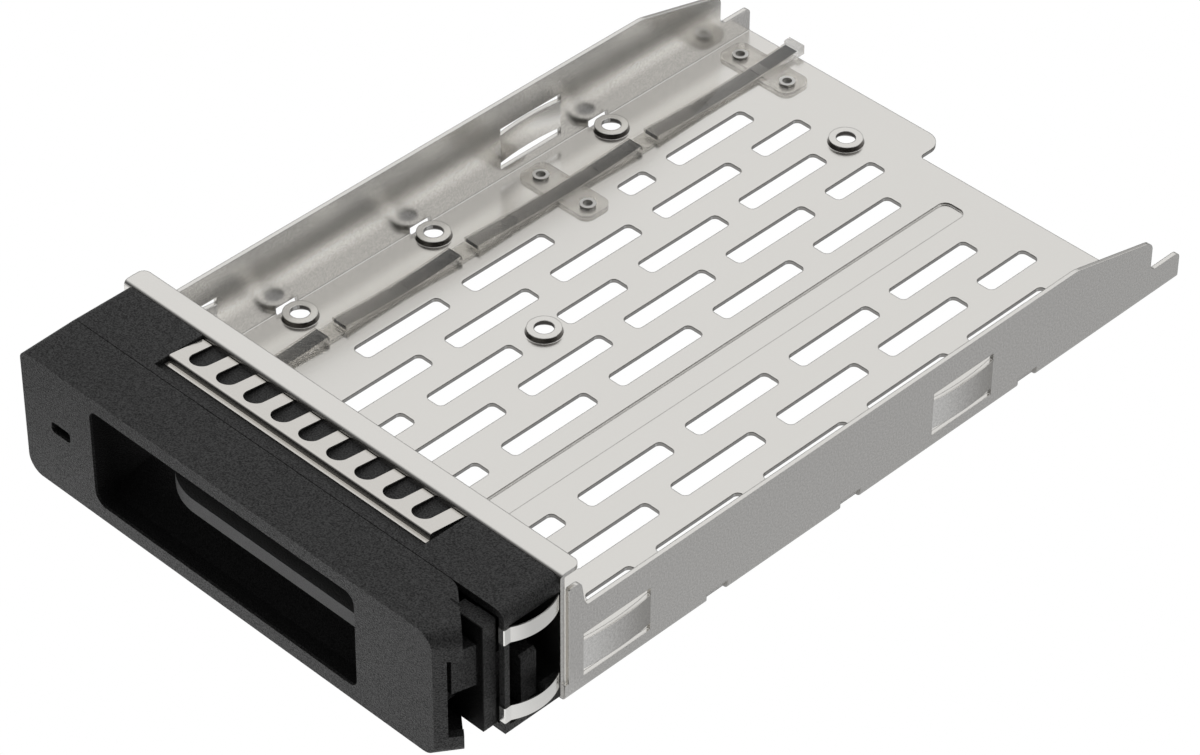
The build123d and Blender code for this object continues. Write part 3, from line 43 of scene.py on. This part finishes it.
# %% [markdown]
# Lengths are easier to read in millimetres, and colours as the hex values that a painter would
# pick. Blender wants metres and linear light. One number turns the first into the second, and one
# function does it for colours, with the curve that every screen uses.

# %% Units and colours
MM = 0.001


def linear(hex_colour):
    """Linear RGBA for Blender from an sRGB hex value such as #3a3a3a."""
    channels = [int(hex_colour[i:i + 2], 16) / 255 for i in (1, 3, 5)]
    curve = [c / 12.92 if c <= 0.04045 else ((c + 0.055) / 1.055) ** 2.4 for c in channels]
    return (*curve, 1.0)


print("mid grey is", linear("#808080")[0])

# %% [markdown]
# The camera stands in front of the caddy's right corner and looks down at about forty degrees. It
# could stand close with a short lens, but a product photographer steps back and uses a long one,
# so that the tray's long sides stay nearly parallel. The small shift slides the picture without
# turning the camera.

# %% Camera
CAMERA_PLACE = Vector((431.25, -450.28, 513.10)) * MM
CAMERA_TILT = 50.13
CAMERA_ROLL = -0.39
CAMERA_HEADING = 44.64
LENS = 141.5
SENSOR = 36.0
SHIFT_RIGHT = -0.0143
SHIFT_UP = -0.0056
FARTHEST_SEEN = 20.0

camera_data = bpy.data.cameras.new("camera")
camera_data.lens = LENS
camera_data.sensor_width = SENSOR
camera_data.shift_x = SHIFT_RIGHT
camera_data.shift_y = SHIFT_UP
camera_data.clip_end = FARTHEST_SEEN
camera = bpy.data.objects.new("camera", camera_data)
camera.location = CAMERA_PLACE
camera.rotation_euler = [math.radians(a) for a in (CAMERA_TILT, CAMERA_ROLL, CAMERA_HEADING)]
bpy.context.scene.collection.objects.link(camera)
bpy.context.scene.camera = camera
bpy.context.scene.view_settings.view_transform = "Standard"
print("camera at", tuple(camera.location))

# %% [markdown]
# A material is a short chain of nodes. They could be wired one call at a time, but the chain is
# then hard to see. One function adds a node, puts settings on it and fills its sockets, so that
# each material reads from top to bottom as a recipe. A socket is named as Blender names it, with
# an underscore for a space, or by its number after an i. Most nodes here are sums, so one word in
# place of the settings is the sum's operation.

# %% A helper for nodes


def node(tree, kind, settings=None, **inputs):
    """Adds one node. An input is a value, another node's output, or a node for its first output."""
    made = tree.nodes.new(kind)
    if isinstance(settings, str):
        settings = {"operation": settings}
    for name, value in (settings or {}).items():
        setattr(made, name, value)
    for name, value in inputs.items():
        by_number = name[0] == "i" and name[1:].isdigit()
        socket = made.inputs[int(name[1:]) if by_number else name.replace("_", " ")]
        source = value.outputs[0] if isinstance(value, bpy.types.Node) else value
        if isinstance(source, bpy.types.NodeSocket):
            tree.links.new(source, socket)
        else:
            socket.default_value = source
    return made


BLEND_COLOURS = {"data_type": "RGBA"}
print("settings for a colour mix:", BLEND_COLOURS)

# %% [markdown]
# Every material starts empty and ends at an output. Two small functions do that part, so that the
# recipes hold only what is special to them.

# %% Start and end of a material


def new_material(name):
    """An empty node material and its tree."""
    material = bpy.data.materials.new(name)
    material.use_nodes = True
    material.node_tree.nodes.clear()
    return material, material.node_tree


def finish_with(tree, shader):
    """Wires a shader to the material's output."""
    node(tree, "ShaderNodeOutputMaterial", Surface=shader)


print("materials so far:", len(bpy.data.materials))

# %% [markdown]
# Some finishes change from place to place on one piece: a punched edge, or the inside of a pocket.
# That could be done with a second material on picked faces, but the faces come from the CAD and
# may be numbered otherwise after the next change. A box in space stays true, so a few nodes ask
# whether a point lies inside one: its distance from the middle, as a share of the half size, is
# below one along all three axes.

# %% A box as a mask


def inside_box(tree, place, low, high):
    """One inside the box between two corners, in millimetres, and zero outside it."""
    middle = [(a + b) / 2 * MM for a, b in zip(low, high)]
    reach = [(b - a) / 2 * MM for a, b in zip(low, high)]
    off = node(tree, "ShaderNodeVectorMath", "SUBTRACT", i0=place, i1=middle)
    away = node(tree, "ShaderNodeVectorMath", "ABSOLUTE", i0=off)
    share = node(tree, "ShaderNodeVectorMath", "DIVIDE", i0=away, i1=reach)
    axes = node(tree, "ShaderNodeSeparateXYZ", Vector=share).outputs
    flat = node(tree, "ShaderNodeMath", "MAXIMUM", i0=axes[0], i1=axes[1])
    furthest = node(tree, "ShaderNodeMath", "MAXIMUM", i0=flat, i1=axes[2])
    return node(tree, "ShaderNodeMath", "LESS_THAN", i0=furthest, i1=1.0)


print("CAD width in mm", (cad_high.x - cad_low.x) / MM)

# %% [markdown]
# ## Plated sheet steel: the surface
# The tray is cold rolled steel, blanked, pressed and folded, then nickel plated. The plating
# follows the mill's rolling grain, so the surface is a blurred mirror. The grain could be a
# picture, but noise stretched along the tray has no edges and no size limit. Real rolling lines
# are about 0.05 mm wide. They are drawn at 0.35 mm and fourteen times as long, because finer ones
# would not show. Broad clouds vary the blur, as handling does.

# %% Rolling grain
ROLLING_GRAIN = 0.35 * MM
GRAIN_STRETCH = 14
GRAIN_DETAIL = 3.0
GRAIN_STRENGTH = 0.12
GRAIN_HEIGHT = 0.02 * MM
CLOUD_SIZE = 22 * MM
CLOUD_DETAIL = 2.0
CLEAREST = 0.18
DULLEST = 0.26
SHEARED_EDGE = 0.3 * MM
EDGE_SAMPLES = 6


def mill_surface(tree, place):
    """Roughness and normal of rolled sheet, with the drawn-in corner that a punch leaves."""
    clouds = node(tree, "ShaderNodeTexNoise", Vector=place, Scale=1 / CLOUD_SIZE, Detail=CLOUD_DETAIL)
    dull = node(tree, "ShaderNodeMapRange", Value=clouds, To_Min=CLEAREST, To_Max=DULLEST)
    along = node(tree, "ShaderNodeMapping", Vector=place, Scale=(1, 1 / GRAIN_STRETCH, 1))
    grain = node(tree, "ShaderNodeTexNoise", Vector=along, Scale=1 / ROLLING_GRAIN, Detail=GRAIN_DETAIL)
    rounded = node(tree, "ShaderNodeBevel", {"samples": EDGE_SAMPLES}, Radius=SHEARED_EDGE)
    bump = node(
        tree,
        "ShaderNodeBump",
        Height=grain,
        Strength=GRAIN_STRENGTH,
        Distance=GRAIN_HEIGHT,
        Normal=rounded,
    )
    return dull, bump


print("rolling lines in mm:", ROLLING_GRAIN / MM, "wide,", ROLLING_GRAIN * GRAIN_STRETCH / MM, "long")

# %% [markdown]
# ## Plated sheet steel: the walls
# The faces that look to the right are the outside of one wall and the inside of the other. Their
# leaf springs are bowed, and a bowed mirror goes from pale to dark along its length. This plain
# studio gives a mirror too little to show, so that is a painted reflection: the colour follows the
# way that the face leans. For the same reason the left wall has a painted reflection in its colour,
# a soft pale band such as a real room leaves on it. Both walls have the fine speckle of crystals in
# the plating, drawn at 0.35 mm to be seen.

# %% Painted reflections and speckle on the walls
BOW_SLOPE = 0.12
# Painted reflection colours for the bowed leaves.
PAINTED_PALE_LEANING_FORWARD = "#fbfaf8"
PAINTED_DARK_LEANING_BACK = "#b4b2ae"
SPANGLE = 0.35 * MM
SPANGLE_DETAIL = 1.0
SPANGLE_FROM = 0.3
SPANGLE_TO = 0.7
SPANGLE_DARK = 0.82
# The left wall's painted reflection band: its height, reach and gain.
BAND_HEIGHT = 6.3 * MM
BAND_REACH = 3.6 * MM
BAND_GAIN = 0.55


def painted_leaf_reflection(tree):
    """Painted reflection: pale where a bowed leaf leans forward and darker where it leans back."""
    leaning = node(tree, "ShaderNodeNewGeometry").outputs["Normal"]
    along_tray = node(tree, "ShaderNodeSeparateXYZ", Vector=leaning).outputs["Y"]
    bow = node(tree, "ShaderNodeMapRange", Value=along_tray, From_Min=-BOW_SLOPE, From_Max=BOW_SLOPE)
    tint = node(tree, "ShaderNodeMix", BLEND_COLOURS, Factor=bow, i6=linear(PAINTED_PALE_LEANING_FORWARD))
    tint.inputs[7].default_value = linear(PAINTED_DARK_LEANING_BACK)
    return tint.outputs[2]


def painted_reflection_band(tree, place):
    """Painted reflection: how much brighter the left wall is near its middle height."""
    spot = node(tree, "ShaderNodeSeparateXYZ", Vector=place).outputs
    climb = node(tree, "ShaderNodeMath", "SUBTRACT", i0=spot["Z"], i1=BAND_HEIGHT)
    from_band = node(tree, "ShaderNodeMath", "ABSOLUTE", i0=climb)
    glow = node(
        tree,
        "ShaderNodeMapRange",
        {"interpolation_type": "SMOOTHSTEP"},
        Value=from_band,
        From_Max=BAND_REACH,
        To_Min=BAND_GAIN,
        To_Max=0.0,
    )
    on_left = node(tree, "ShaderNodeMath", "LESS_THAN", i0=spot["X"], i1=0.0)
    extra = node(tree, "ShaderNodeMath", "MULTIPLY", i0=glow, i1=on_left)
    return node(tree, "ShaderNodeMath", "ADD", i0=1.0, i1=extra)


def painted_reflection_and_speckle(tree, place):
    """Painted leaf reflection, speckle and painted reflection band together."""
    speckle = node(tree, "ShaderNodeTexNoise", Vector=place, Scale=1 / SPANGLE, Detail=SPANGLE_DETAIL)
    speckled = node(
        tree,
        "ShaderNodeMapRange",
        Value=speckle,
        From_Min=SPANGLE_FROM,
        From_Max=SPANGLE_TO,
        To_Min=SPANGLE_DARK,
    )
    level = node(tree, "ShaderNodeMath", "MULTIPLY", i0=speckled, i1=painted_reflection_band(tree, place))
    return node(tree, "ShaderNodeVectorMath", "SCALE", i0=painted_leaf_reflection(tree), Scale=level)


print("pale band from", (BAND_HEIGHT - BAND_REACH) / MM, "to", (BAND_HEIGHT + BAND_REACH) / MM, "mm")

# %% [markdown]
# ## Plated sheet steel: the whole
# The upright sides of slots and bosses are darker than the rolled face: painted shade, for the dark
# outline that such narrow sides show. A box just under the boss tops finds them, and the true
# normal, which is the face's own, tells an upright side from the floor. All that is left is a metal
# shader with its default index, whose colour is the pale warm grey of nickel.

# %% Plated steel
PLATED_FACE = "#dcdad6"
# Painted shade on the upright sides of slots and bosses.
PAINTED_SIDE_SHADE = "#6a6764"
PUNCHED_LOW = (-49.0, -71.0, -1.15)
PUNCHED_HIGH = (49.0, 78.0, -0.12)
UPRIGHT_BELOW = 0.7
OUTWARD_ABOVE = 0.9


def plated_steel():
    """Nickel plated sheet, with painted reflections on its walls and painted shade on punched sides."""
    material, tree = new_material("plated_steel")
    place = node(tree, "ShaderNodeTexCoord").outputs["Object"]
    facing = node(tree, "ShaderNodeNewGeometry").outputs["True Normal"]
    ways = node(tree, "ShaderNodeSeparateXYZ", Vector=facing).outputs
    upward = node(tree, "ShaderNodeMath", "ABSOLUTE", i0=ways["Z"])
    upright = node(tree, "ShaderNodeMath", "LESS_THAN", i0=upward, i1=UPRIGHT_BELOW)
    punched = inside_box(tree, place, PUNCHED_LOW, PUNCHED_HIGH)
    painted_side_shade_mask = node(tree, "ShaderNodeMath", "MULTIPLY", i0=upright, i1=punched)
    outward = node(tree, "ShaderNodeMath", "GREATER_THAN", i0=ways["X"], i1=OUTWARD_ABOVE)
    wall_reflection_and_speckle = painted_reflection_and_speckle(tree, place)
    sheet = node(tree, "ShaderNodeMix", BLEND_COLOURS, Factor=outward, i6=linear(PLATED_FACE), i7=wall_reflection_and_speckle)
    colour = node(tree, "ShaderNodeMix", BLEND_COLOURS, Factor=painted_side_shade_mask, i6=sheet.outputs[2])
    colour.inputs[7].default_value = linear(PAINTED_SIDE_SHADE)
    dull, bump = mill_surface(tree, place)
    shader = node(
        tree,
        "ShaderNodeBsdfPrincipled",
        Base_Color=colour.outputs[2],
        Metallic=1.0,
        Roughness=dull,
        Normal=bump,
    )
    finish_with(tree, shader)
    return material


steel = plated_steel()
print("made", steel.name, "with", len(steel.node_tree.nodes), "nodes")

# %% [markdown]
# ## Moulded plastic
# The front is a blend of polycarbonate and ABS, moulded against a spark eroded tool. That leaves
# an even matt grain, which makes the black read as dark grey in light. The real grain is finer
# than 0.2 mm. It is drawn at 0.27 mm so that it shows. The same noise lifts the surface and varies
# its shine. The finger pocket and the gap behind the handle lie in shade, but so plain a surround
# would still make them shine, so the shine is turned down in two boxes: painted shade.

# %% Moulded plastic
SPARK_GRAIN = 0.27 * MM
SPARK_DETAIL = 2.0
SPARK_STRENGTH = 1.0
SPARK_HEIGHT = 0.2 * MM
SPARKLE_FROM = 0.35
SPARKLE_TO = 0.65
LEAST_SHINE = 0.2
MOST_SHINE = 0.86
PLASTIC_INDEX = 1.45
# Boxes of painted shade: the finger pocket, and the cam arm's front behind the handle.
POCKET_LOW = (-38.0, -95.9, 1.6)
POCKET_HIGH = (29.8, -80.0, 22.9)
ARM_FRONT_LOW = (42.6, -88.5, -2.5)
ARM_FRONT_HIGH = (49.8, -88.05, 24.7)
SHADED_DULLNESS = 0.8


def moulded_plastic(name, colour, roughness):
    """Grained plastic of one colour, with less shine as painted shade in two boxes."""
    material, tree = new_material(name)
    place = node(tree, "ShaderNodeTexCoord").outputs["Object"]
    grain = node(tree, "ShaderNodeTexNoise", Vector=place, Scale=1 / SPARK_GRAIN, Detail=SPARK_DETAIL)
    bump = node(tree, "ShaderNodeBump", Height=grain, Strength=SPARK_STRENGTH, Distance=SPARK_HEIGHT)
    pocket = inside_box(tree, place, POCKET_LOW, POCKET_HIGH)
    arm_front = inside_box(tree, place, ARM_FRONT_LOW, ARM_FRONT_HIGH)
    shaded = node(tree, "ShaderNodeMath", "MAXIMUM", i0=pocket, i1=arm_front)
    sparkle = node(
        tree,
        "ShaderNodeMapRange",
        Value=grain,
        From_Min=SPARKLE_FROM,
        From_Max=SPARKLE_TO,
        To_Min=LEAST_SHINE,
        To_Max=MOST_SHINE,
    )
    lost = node(tree, "ShaderNodeMath", "MULTIPLY", i0=shaded, i1=SHADED_DULLNESS)
    kept = node(tree, "ShaderNodeMath", "SUBTRACT", i0=1.0, i1=lost)
    shine = node(tree, "ShaderNodeMath", "MULTIPLY", i0=sparkle, i1=kept)
    shader = node(
        tree,
        "ShaderNodeBsdfPrincipled",
        Base_Color=linear(colour),
        Roughness=roughness,
        IOR=PLASTIC_INDEX,
        Specular_IOR_Level=shine,
        Normal=bump,
    )
    finish_with(tree, shader)
    return material


black = moulded_plastic("black_plastic", "#1a1a1a", 0.5)
# The cam arm, which sits behind the handle, gets a darker copy of the black: painted shade.
dark = moulded_plastic("dark_plastic", "#0e0e0e", 0.5)
grey = moulded_plastic("grey_plastic", "#707070", 0.4)
print("made", black.name, dark.name, grey.name)

# %% [markdown]
# ## Clear polycarbonate: where the bar looks dark
# The light pipe is moulded clear and polished in the tool, so that light stays inside it. From
# outside, the thick bar then looks dark between bright edges, and its thin plates look clear.
# Glass alone could show that, but only with many bounces and a full room round it. Here the dark
# is painted into the colour, and a depth from zero to one says how much: full where it is thick, a
# little less where its sagging top leans back, as a painted reflection, and less when the light path
# through it is short, from straight above.

# %% Depth of the bar
LOW_STRETCH_TOP = -0.48 * MM
FULL_BAR_TOP = -0.42 * MM
BAR_LOW = (-41.8, -90.0, -2.0)
BAR_HIGH = (-38.85, 78.0, 14.0)
SAG_SLOPE = 0.06
LEANING_BACK_DEPTH = 0.85
EVEN_BLEND = 0.5
STEEP_VIEW = 0.05
SLANTED_VIEW = 0.3
STEEP_VIEW_DEPTH = 0.4


def painted_bar_darkness(tree):
    """How much painted dark the bar gets at a point, from zero to one."""
    place = node(tree, "ShaderNodeTexCoord").outputs["Object"]
    height = node(tree, "ShaderNodeSeparateXYZ", Vector=place).outputs["Z"]
    thick = node(tree, "ShaderNodeMapRange", Value=height, From_Min=LOW_STRETCH_TOP, From_Max=FULL_BAR_TOP)
    bar = inside_box(tree, place, BAR_LOW, BAR_HIGH)
    in_bar = node(tree, "ShaderNodeMath", "MULTIPLY", i0=thick, i1=bar)
    leaning = node(tree, "ShaderNodeNewGeometry").outputs["Normal"]
    along_tray = node(tree, "ShaderNodeSeparateXYZ", Vector=leaning).outputs["Y"]
    sag_painted_reflection = node(
        tree,
        "ShaderNodeMapRange",
        Value=along_tray,
        From_Min=-SAG_SLOPE,
        From_Max=SAG_SLOPE,
        To_Min=1.0,
        To_Max=LEANING_BACK_DEPTH,
    )
    slant = node(tree, "ShaderNodeLayerWeight", Blend=EVEN_BLEND).outputs["Facing"]
    trapped = node(
        tree,
        "ShaderNodeMapRange",
        Value=slant,
        From_Min=STEEP_VIEW,
        From_Max=SLANTED_VIEW,
        To_Min=STEEP_VIEW_DEPTH,
    )
    shown = node(tree, "ShaderNodeMath", "MULTIPLY", i0=sag_painted_reflection, i1=trapped)
    return node(tree, "ShaderNodeMath", "MULTIPLY", i0=in_bar, i1=shown)


print("bar in mm:", BAR_LOW, "to", BAR_HIGH)

# %% [markdown]
# ## Clear polycarbonate: the material
# It is a transmitting shader with polycarbonate's high index of 1.585 and a polished surface. The
# colour goes to a painted dark grey with the depth, for the light that stays inside the bar. Where
# the moulding is thin, about half the light passes straight on, which keeps the plates' undersides
# and the steel below them clear of noise.

# %% Clear polycarbonate
CLEAR_TINT = "#f6f5f3"
# Painted dark grey for the thick bar; the moulding itself is clear.
PAINTED_DARK_GREY = "#2c2d2e"
POLISH = 0.04
POLYCARBONATE_INDEX = 1.585
THIN_CLEARNESS = 0.55


def clear_polycarbonate():
    """Clear moulding, painted dark grey where it is thick."""
    material, tree = new_material("clear_polycarbonate")
    depth = painted_bar_darkness(tree)
    tint = node(tree, "ShaderNodeMix", BLEND_COLOURS, Factor=depth, i6=linear(CLEAR_TINT))
    tint.inputs[7].default_value = linear(PAINTED_DARK_GREY)
    shader = node(
        tree,
        "ShaderNodeBsdfPrincipled",
        Base_Color=tint.outputs[2],
        Roughness=POLISH,
        IOR=POLYCARBONATE_INDEX,
        Transmission_Weight=1.0,
    )
    hidden = node(tree, "ShaderNodeMath", "MULTIPLY", i0=depth, i1=THIN_CLEARNESS)
    thin = node(tree, "ShaderNodeMath", "SUBTRACT", i0=THIN_CLEARNESS, i1=hidden)
    window = node(tree, "ShaderNodeBsdfTransparent", Color=linear(CLEAR_TINT))
    mixed = node(tree, "ShaderNodeMixShader", Fac=thin, i1=shader, i2=window)
    finish_with(tree, mixed)
    return material


clear = clear_polycarbonate()
print("made", clear.name, "with", len(clear.node_tree.nodes), "nodes")

# %% [markdown]
# ## Spring strip and small steel parts
# The side springs are bright cold rolled stainless strip, and the finger strip is blanked from a
# greyer and slightly duller one. Pins, screws and rivets are zinc plated steel.
# All are plain metals, so one function makes them, and a noise of 0.6 mm varies the blur as
# handling does.

# %% Spring strip and fasteners
HANDLING_MARKS = 0.6 * MM
MARKS_DETAIL = 2.0
BLUR_SPREAD = 0.05


def small_metal(name, colour, roughness):
    """Plain metal with a slightly uneven blur."""
    material, tree = new_material(name)
    place = node(tree, "ShaderNodeTexCoord").outputs["Object"]
    marks = node(tree, "ShaderNodeTexNoise", Vector=place, Scale=1 / HANDLING_MARKS, Detail=MARKS_DETAIL)
    dull = node(
        tree,
        "ShaderNodeMapRange",
        Value=marks,
        To_Min=roughness - BLUR_SPREAD,
        To_Max=roughness + BLUR_SPREAD,
    )
    shader = node(
        tree, "ShaderNodeBsdfPrincipled", Base_Color=linear(colour), Metallic=1.0, Roughness=dull
    )
    finish_with(tree, shader)
    return material


strip = small_metal("spring_strip", "#f4f3f0", 0.2)
blanked_strip = small_metal("blanked_strip", "#d4d1cc", 0.24)
zinc = small_metal("zinc_plate", "#c4c3c0", 0.3)
print("made", strip.name, blanked_strip.name, zinc.name)

# %% [markdown]
# The pieces come with plain materials in the right slots. Each now gets its own finish by name,
# and whatever isn't named is a pin, screw or rivet.

# %% Put the finishes on the pieces
FINISHES = {
    "tray_pan": steel,
    "bezel_base": black,
    "handle": black,
    "release_lever": grey,
    "cam_arm": dark,
    "light_pipe": clear,
    "top_finger_gasket": blanked_strip,
    "side_contact_spring": strip,
}
for name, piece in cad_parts.items():
    piece.data.materials.clear()
    piece.data.materials.append(FINISHES.get(name, zinc))
print("finished pieces:", len(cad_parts))

# %% [markdown]
# ## The studio
# Bright plated steel shows its surroundings more than itself. Lamps would show in it as hard
# shapes, so there are none: the sky and the paper underneath give all the light, and are drawn as
# what each face mirrors. The tray's floor mirrors the bright sky behind it, and the right wall and
# the black front mirror the paper. The camera alone sees pure white.

# %% Paper sheet
PAPER_SIZE = 6.0
PAPER_GAP = 0.02 * MM

half = PAPER_SIZE / 2
floor_z = cad_low.z - PAPER_GAP
floor_mesh = bpy.data.meshes.new("studio_floor")
floor_mesh.from_pydata(
    [(-half, -half, floor_z), (half, -half, floor_z), (half, half, floor_z), (-half, half, floor_z)],
    [],
    [(0, 1, 2, 3)],
)
floor = bpy.data.objects.new("studio_floor", floor_mesh)
bpy.context.scene.collection.objects.link(floor)
print("paper at", floor_z)

# %% [markdown]
# To all but the camera the paper is mid grey, with one pale band across it that runs almost along
# the caddy's width, and dark under the tray, where a real sheet would lie in shadow. The band is
# a peak that falls away on both sides: its brightness less a slope times the distance from its
# middle line. From below the paper is invisible, so that the underside can be seen.

# %% Paper material
PAPER_GREY = 0.5
PAPER_SHADOW = 0.32
BAND_WHITE = 1.2
BAND_MIDDLE = -0.1
BAND_FALL = 12.9
ACROSS_BAND = (0.3, 0.95, 0)
TRAY_LOW = (-51.0, -77.0, -30.0)
TRAY_HIGH = (51.0, 77.0, 30.0)


def studio_paper():
    """White to the camera, banded grey to the object, and clear from below."""
    material, tree = new_material("studio_paper")
    place = node(tree, "ShaderNodeTexCoord").outputs["Object"]
    across = node(tree, "ShaderNodeVectorMath", "DOT_PRODUCT", i0=place, i1=ACROSS_BAND).outputs["Value"]
    off = node(tree, "ShaderNodeMath", "SUBTRACT", i0=across, i1=BAND_MIDDLE)
    away = node(tree, "ShaderNodeMath", "ABSOLUTE", i0=off)
    fall = node(tree, "ShaderNodeMath", "MULTIPLY", i0=away, i1=BAND_FALL)
    pale = node(tree, "ShaderNodeMath", "SUBTRACT", i0=BAND_WHITE, i1=fall)
    open_paper = node(tree, "ShaderNodeMath", "MAXIMUM", i0=pale, i1=PAPER_GREY)
    under_tray = inside_box(tree, place, TRAY_LOW, TRAY_HIGH)
    uncovered = node(tree, "ShaderNodeMath", "SUBTRACT", i0=1.0, i1=under_tray)
    lit_paper = node(tree, "ShaderNodeMath", "MULTIPLY", i0=open_paper, i1=uncovered)
    level = node(tree, "ShaderNodeMath", "MAXIMUM", i0=lit_paper, i1=PAPER_SHADOW)
    lit = node(tree, "ShaderNodeEmission", Strength=level)
    white = node(tree, "ShaderNodeEmission", Strength=1.0)
    seen = node(tree, "ShaderNodeLightPath").outputs["Is Camera Ray"]
    above = node(tree, "ShaderNodeMixShader", Fac=seen, i1=lit, i2=white)
    below = node(tree, "ShaderNodeNewGeometry").outputs["Backfacing"]
    nothing = node(tree, "ShaderNodeBsdfTransparent")
    sheet = node(tree, "ShaderNodeMixShader", Fac=below, i1=above, i2=nothing)
    finish_with(tree, sheet)
    return material


floor_mesh.materials.append(studio_paper())
print("paper levels:", PAPER_SHADOW, PAPER_GREY, BAND_WHITE)

# %% [markdown]
# The sky is bright overhead and at the back, and dark low down and at the front, which is why the
# finger pocket stays almost black. A picture of a room could do the same, but two ramps are enough:
# one on how far a direction points back and up, and one that dims the horizon.

# %% Sky
SKY_BRIGHT = 0.95
SKY_DARK = 0.14
BACK_AND_UP = (-0.2, 0.7, 0.65)
DARK_UNTIL = 0.05
BRIGHT_FROM = 0.5
HORIZON_LOW = 0.15
HORIZON_HIGH = 0.4
HORIZON_LEVEL = 0.15
WHITE = (1, 1, 1, 1)

world = bpy.data.worlds.new("surround")
bpy.context.scene.world = world
world.use_nodes = True
sky_tree = world.node_tree
sky_tree.nodes.clear()
toward = node(sky_tree, "ShaderNodeTexCoord").outputs["Generated"]
back = node(sky_tree, "ShaderNodeVectorMath", "DOT_PRODUCT", i0=toward, i1=BACK_AND_UP).outputs["Value"]
level = node(
    sky_tree,
    "ShaderNodeMapRange",
    Value=back,
    From_Min=DARK_UNTIL,
    From_Max=BRIGHT_FROM,
    To_Min=SKY_DARK,
    To_Max=SKY_BRIGHT,
)
height = node(sky_tree, "ShaderNodeSeparateXYZ", Vector=toward).outputs["Z"]
horizon = node(
    sky_tree,
    "ShaderNodeMapRange",
    Value=height,
    From_Min=HORIZON_LOW,
    From_Max=HORIZON_HIGH,
    To_Min=HORIZON_LEVEL,
)
strength = node(sky_tree, "ShaderNodeMath", "MULTIPLY", i0=level, i1=horizon)
dim = node(sky_tree, "ShaderNodeBackground", Color=WHITE, Strength=strength)
backdrop = node(sky_tree, "ShaderNodeBackground", Color=WHITE, Strength=1.0)
seen = node(sky_tree, "ShaderNodeLightPath").outputs["Is Camera Ray"]
sky = node(sky_tree, "ShaderNodeMixShader", Fac=seen, i1=dim, i2=backdrop)
node(sky_tree, "ShaderNodeOutputWorld", Surface=sky)
print("sky from", SKY_DARK, "to", SKY_BRIGHT)
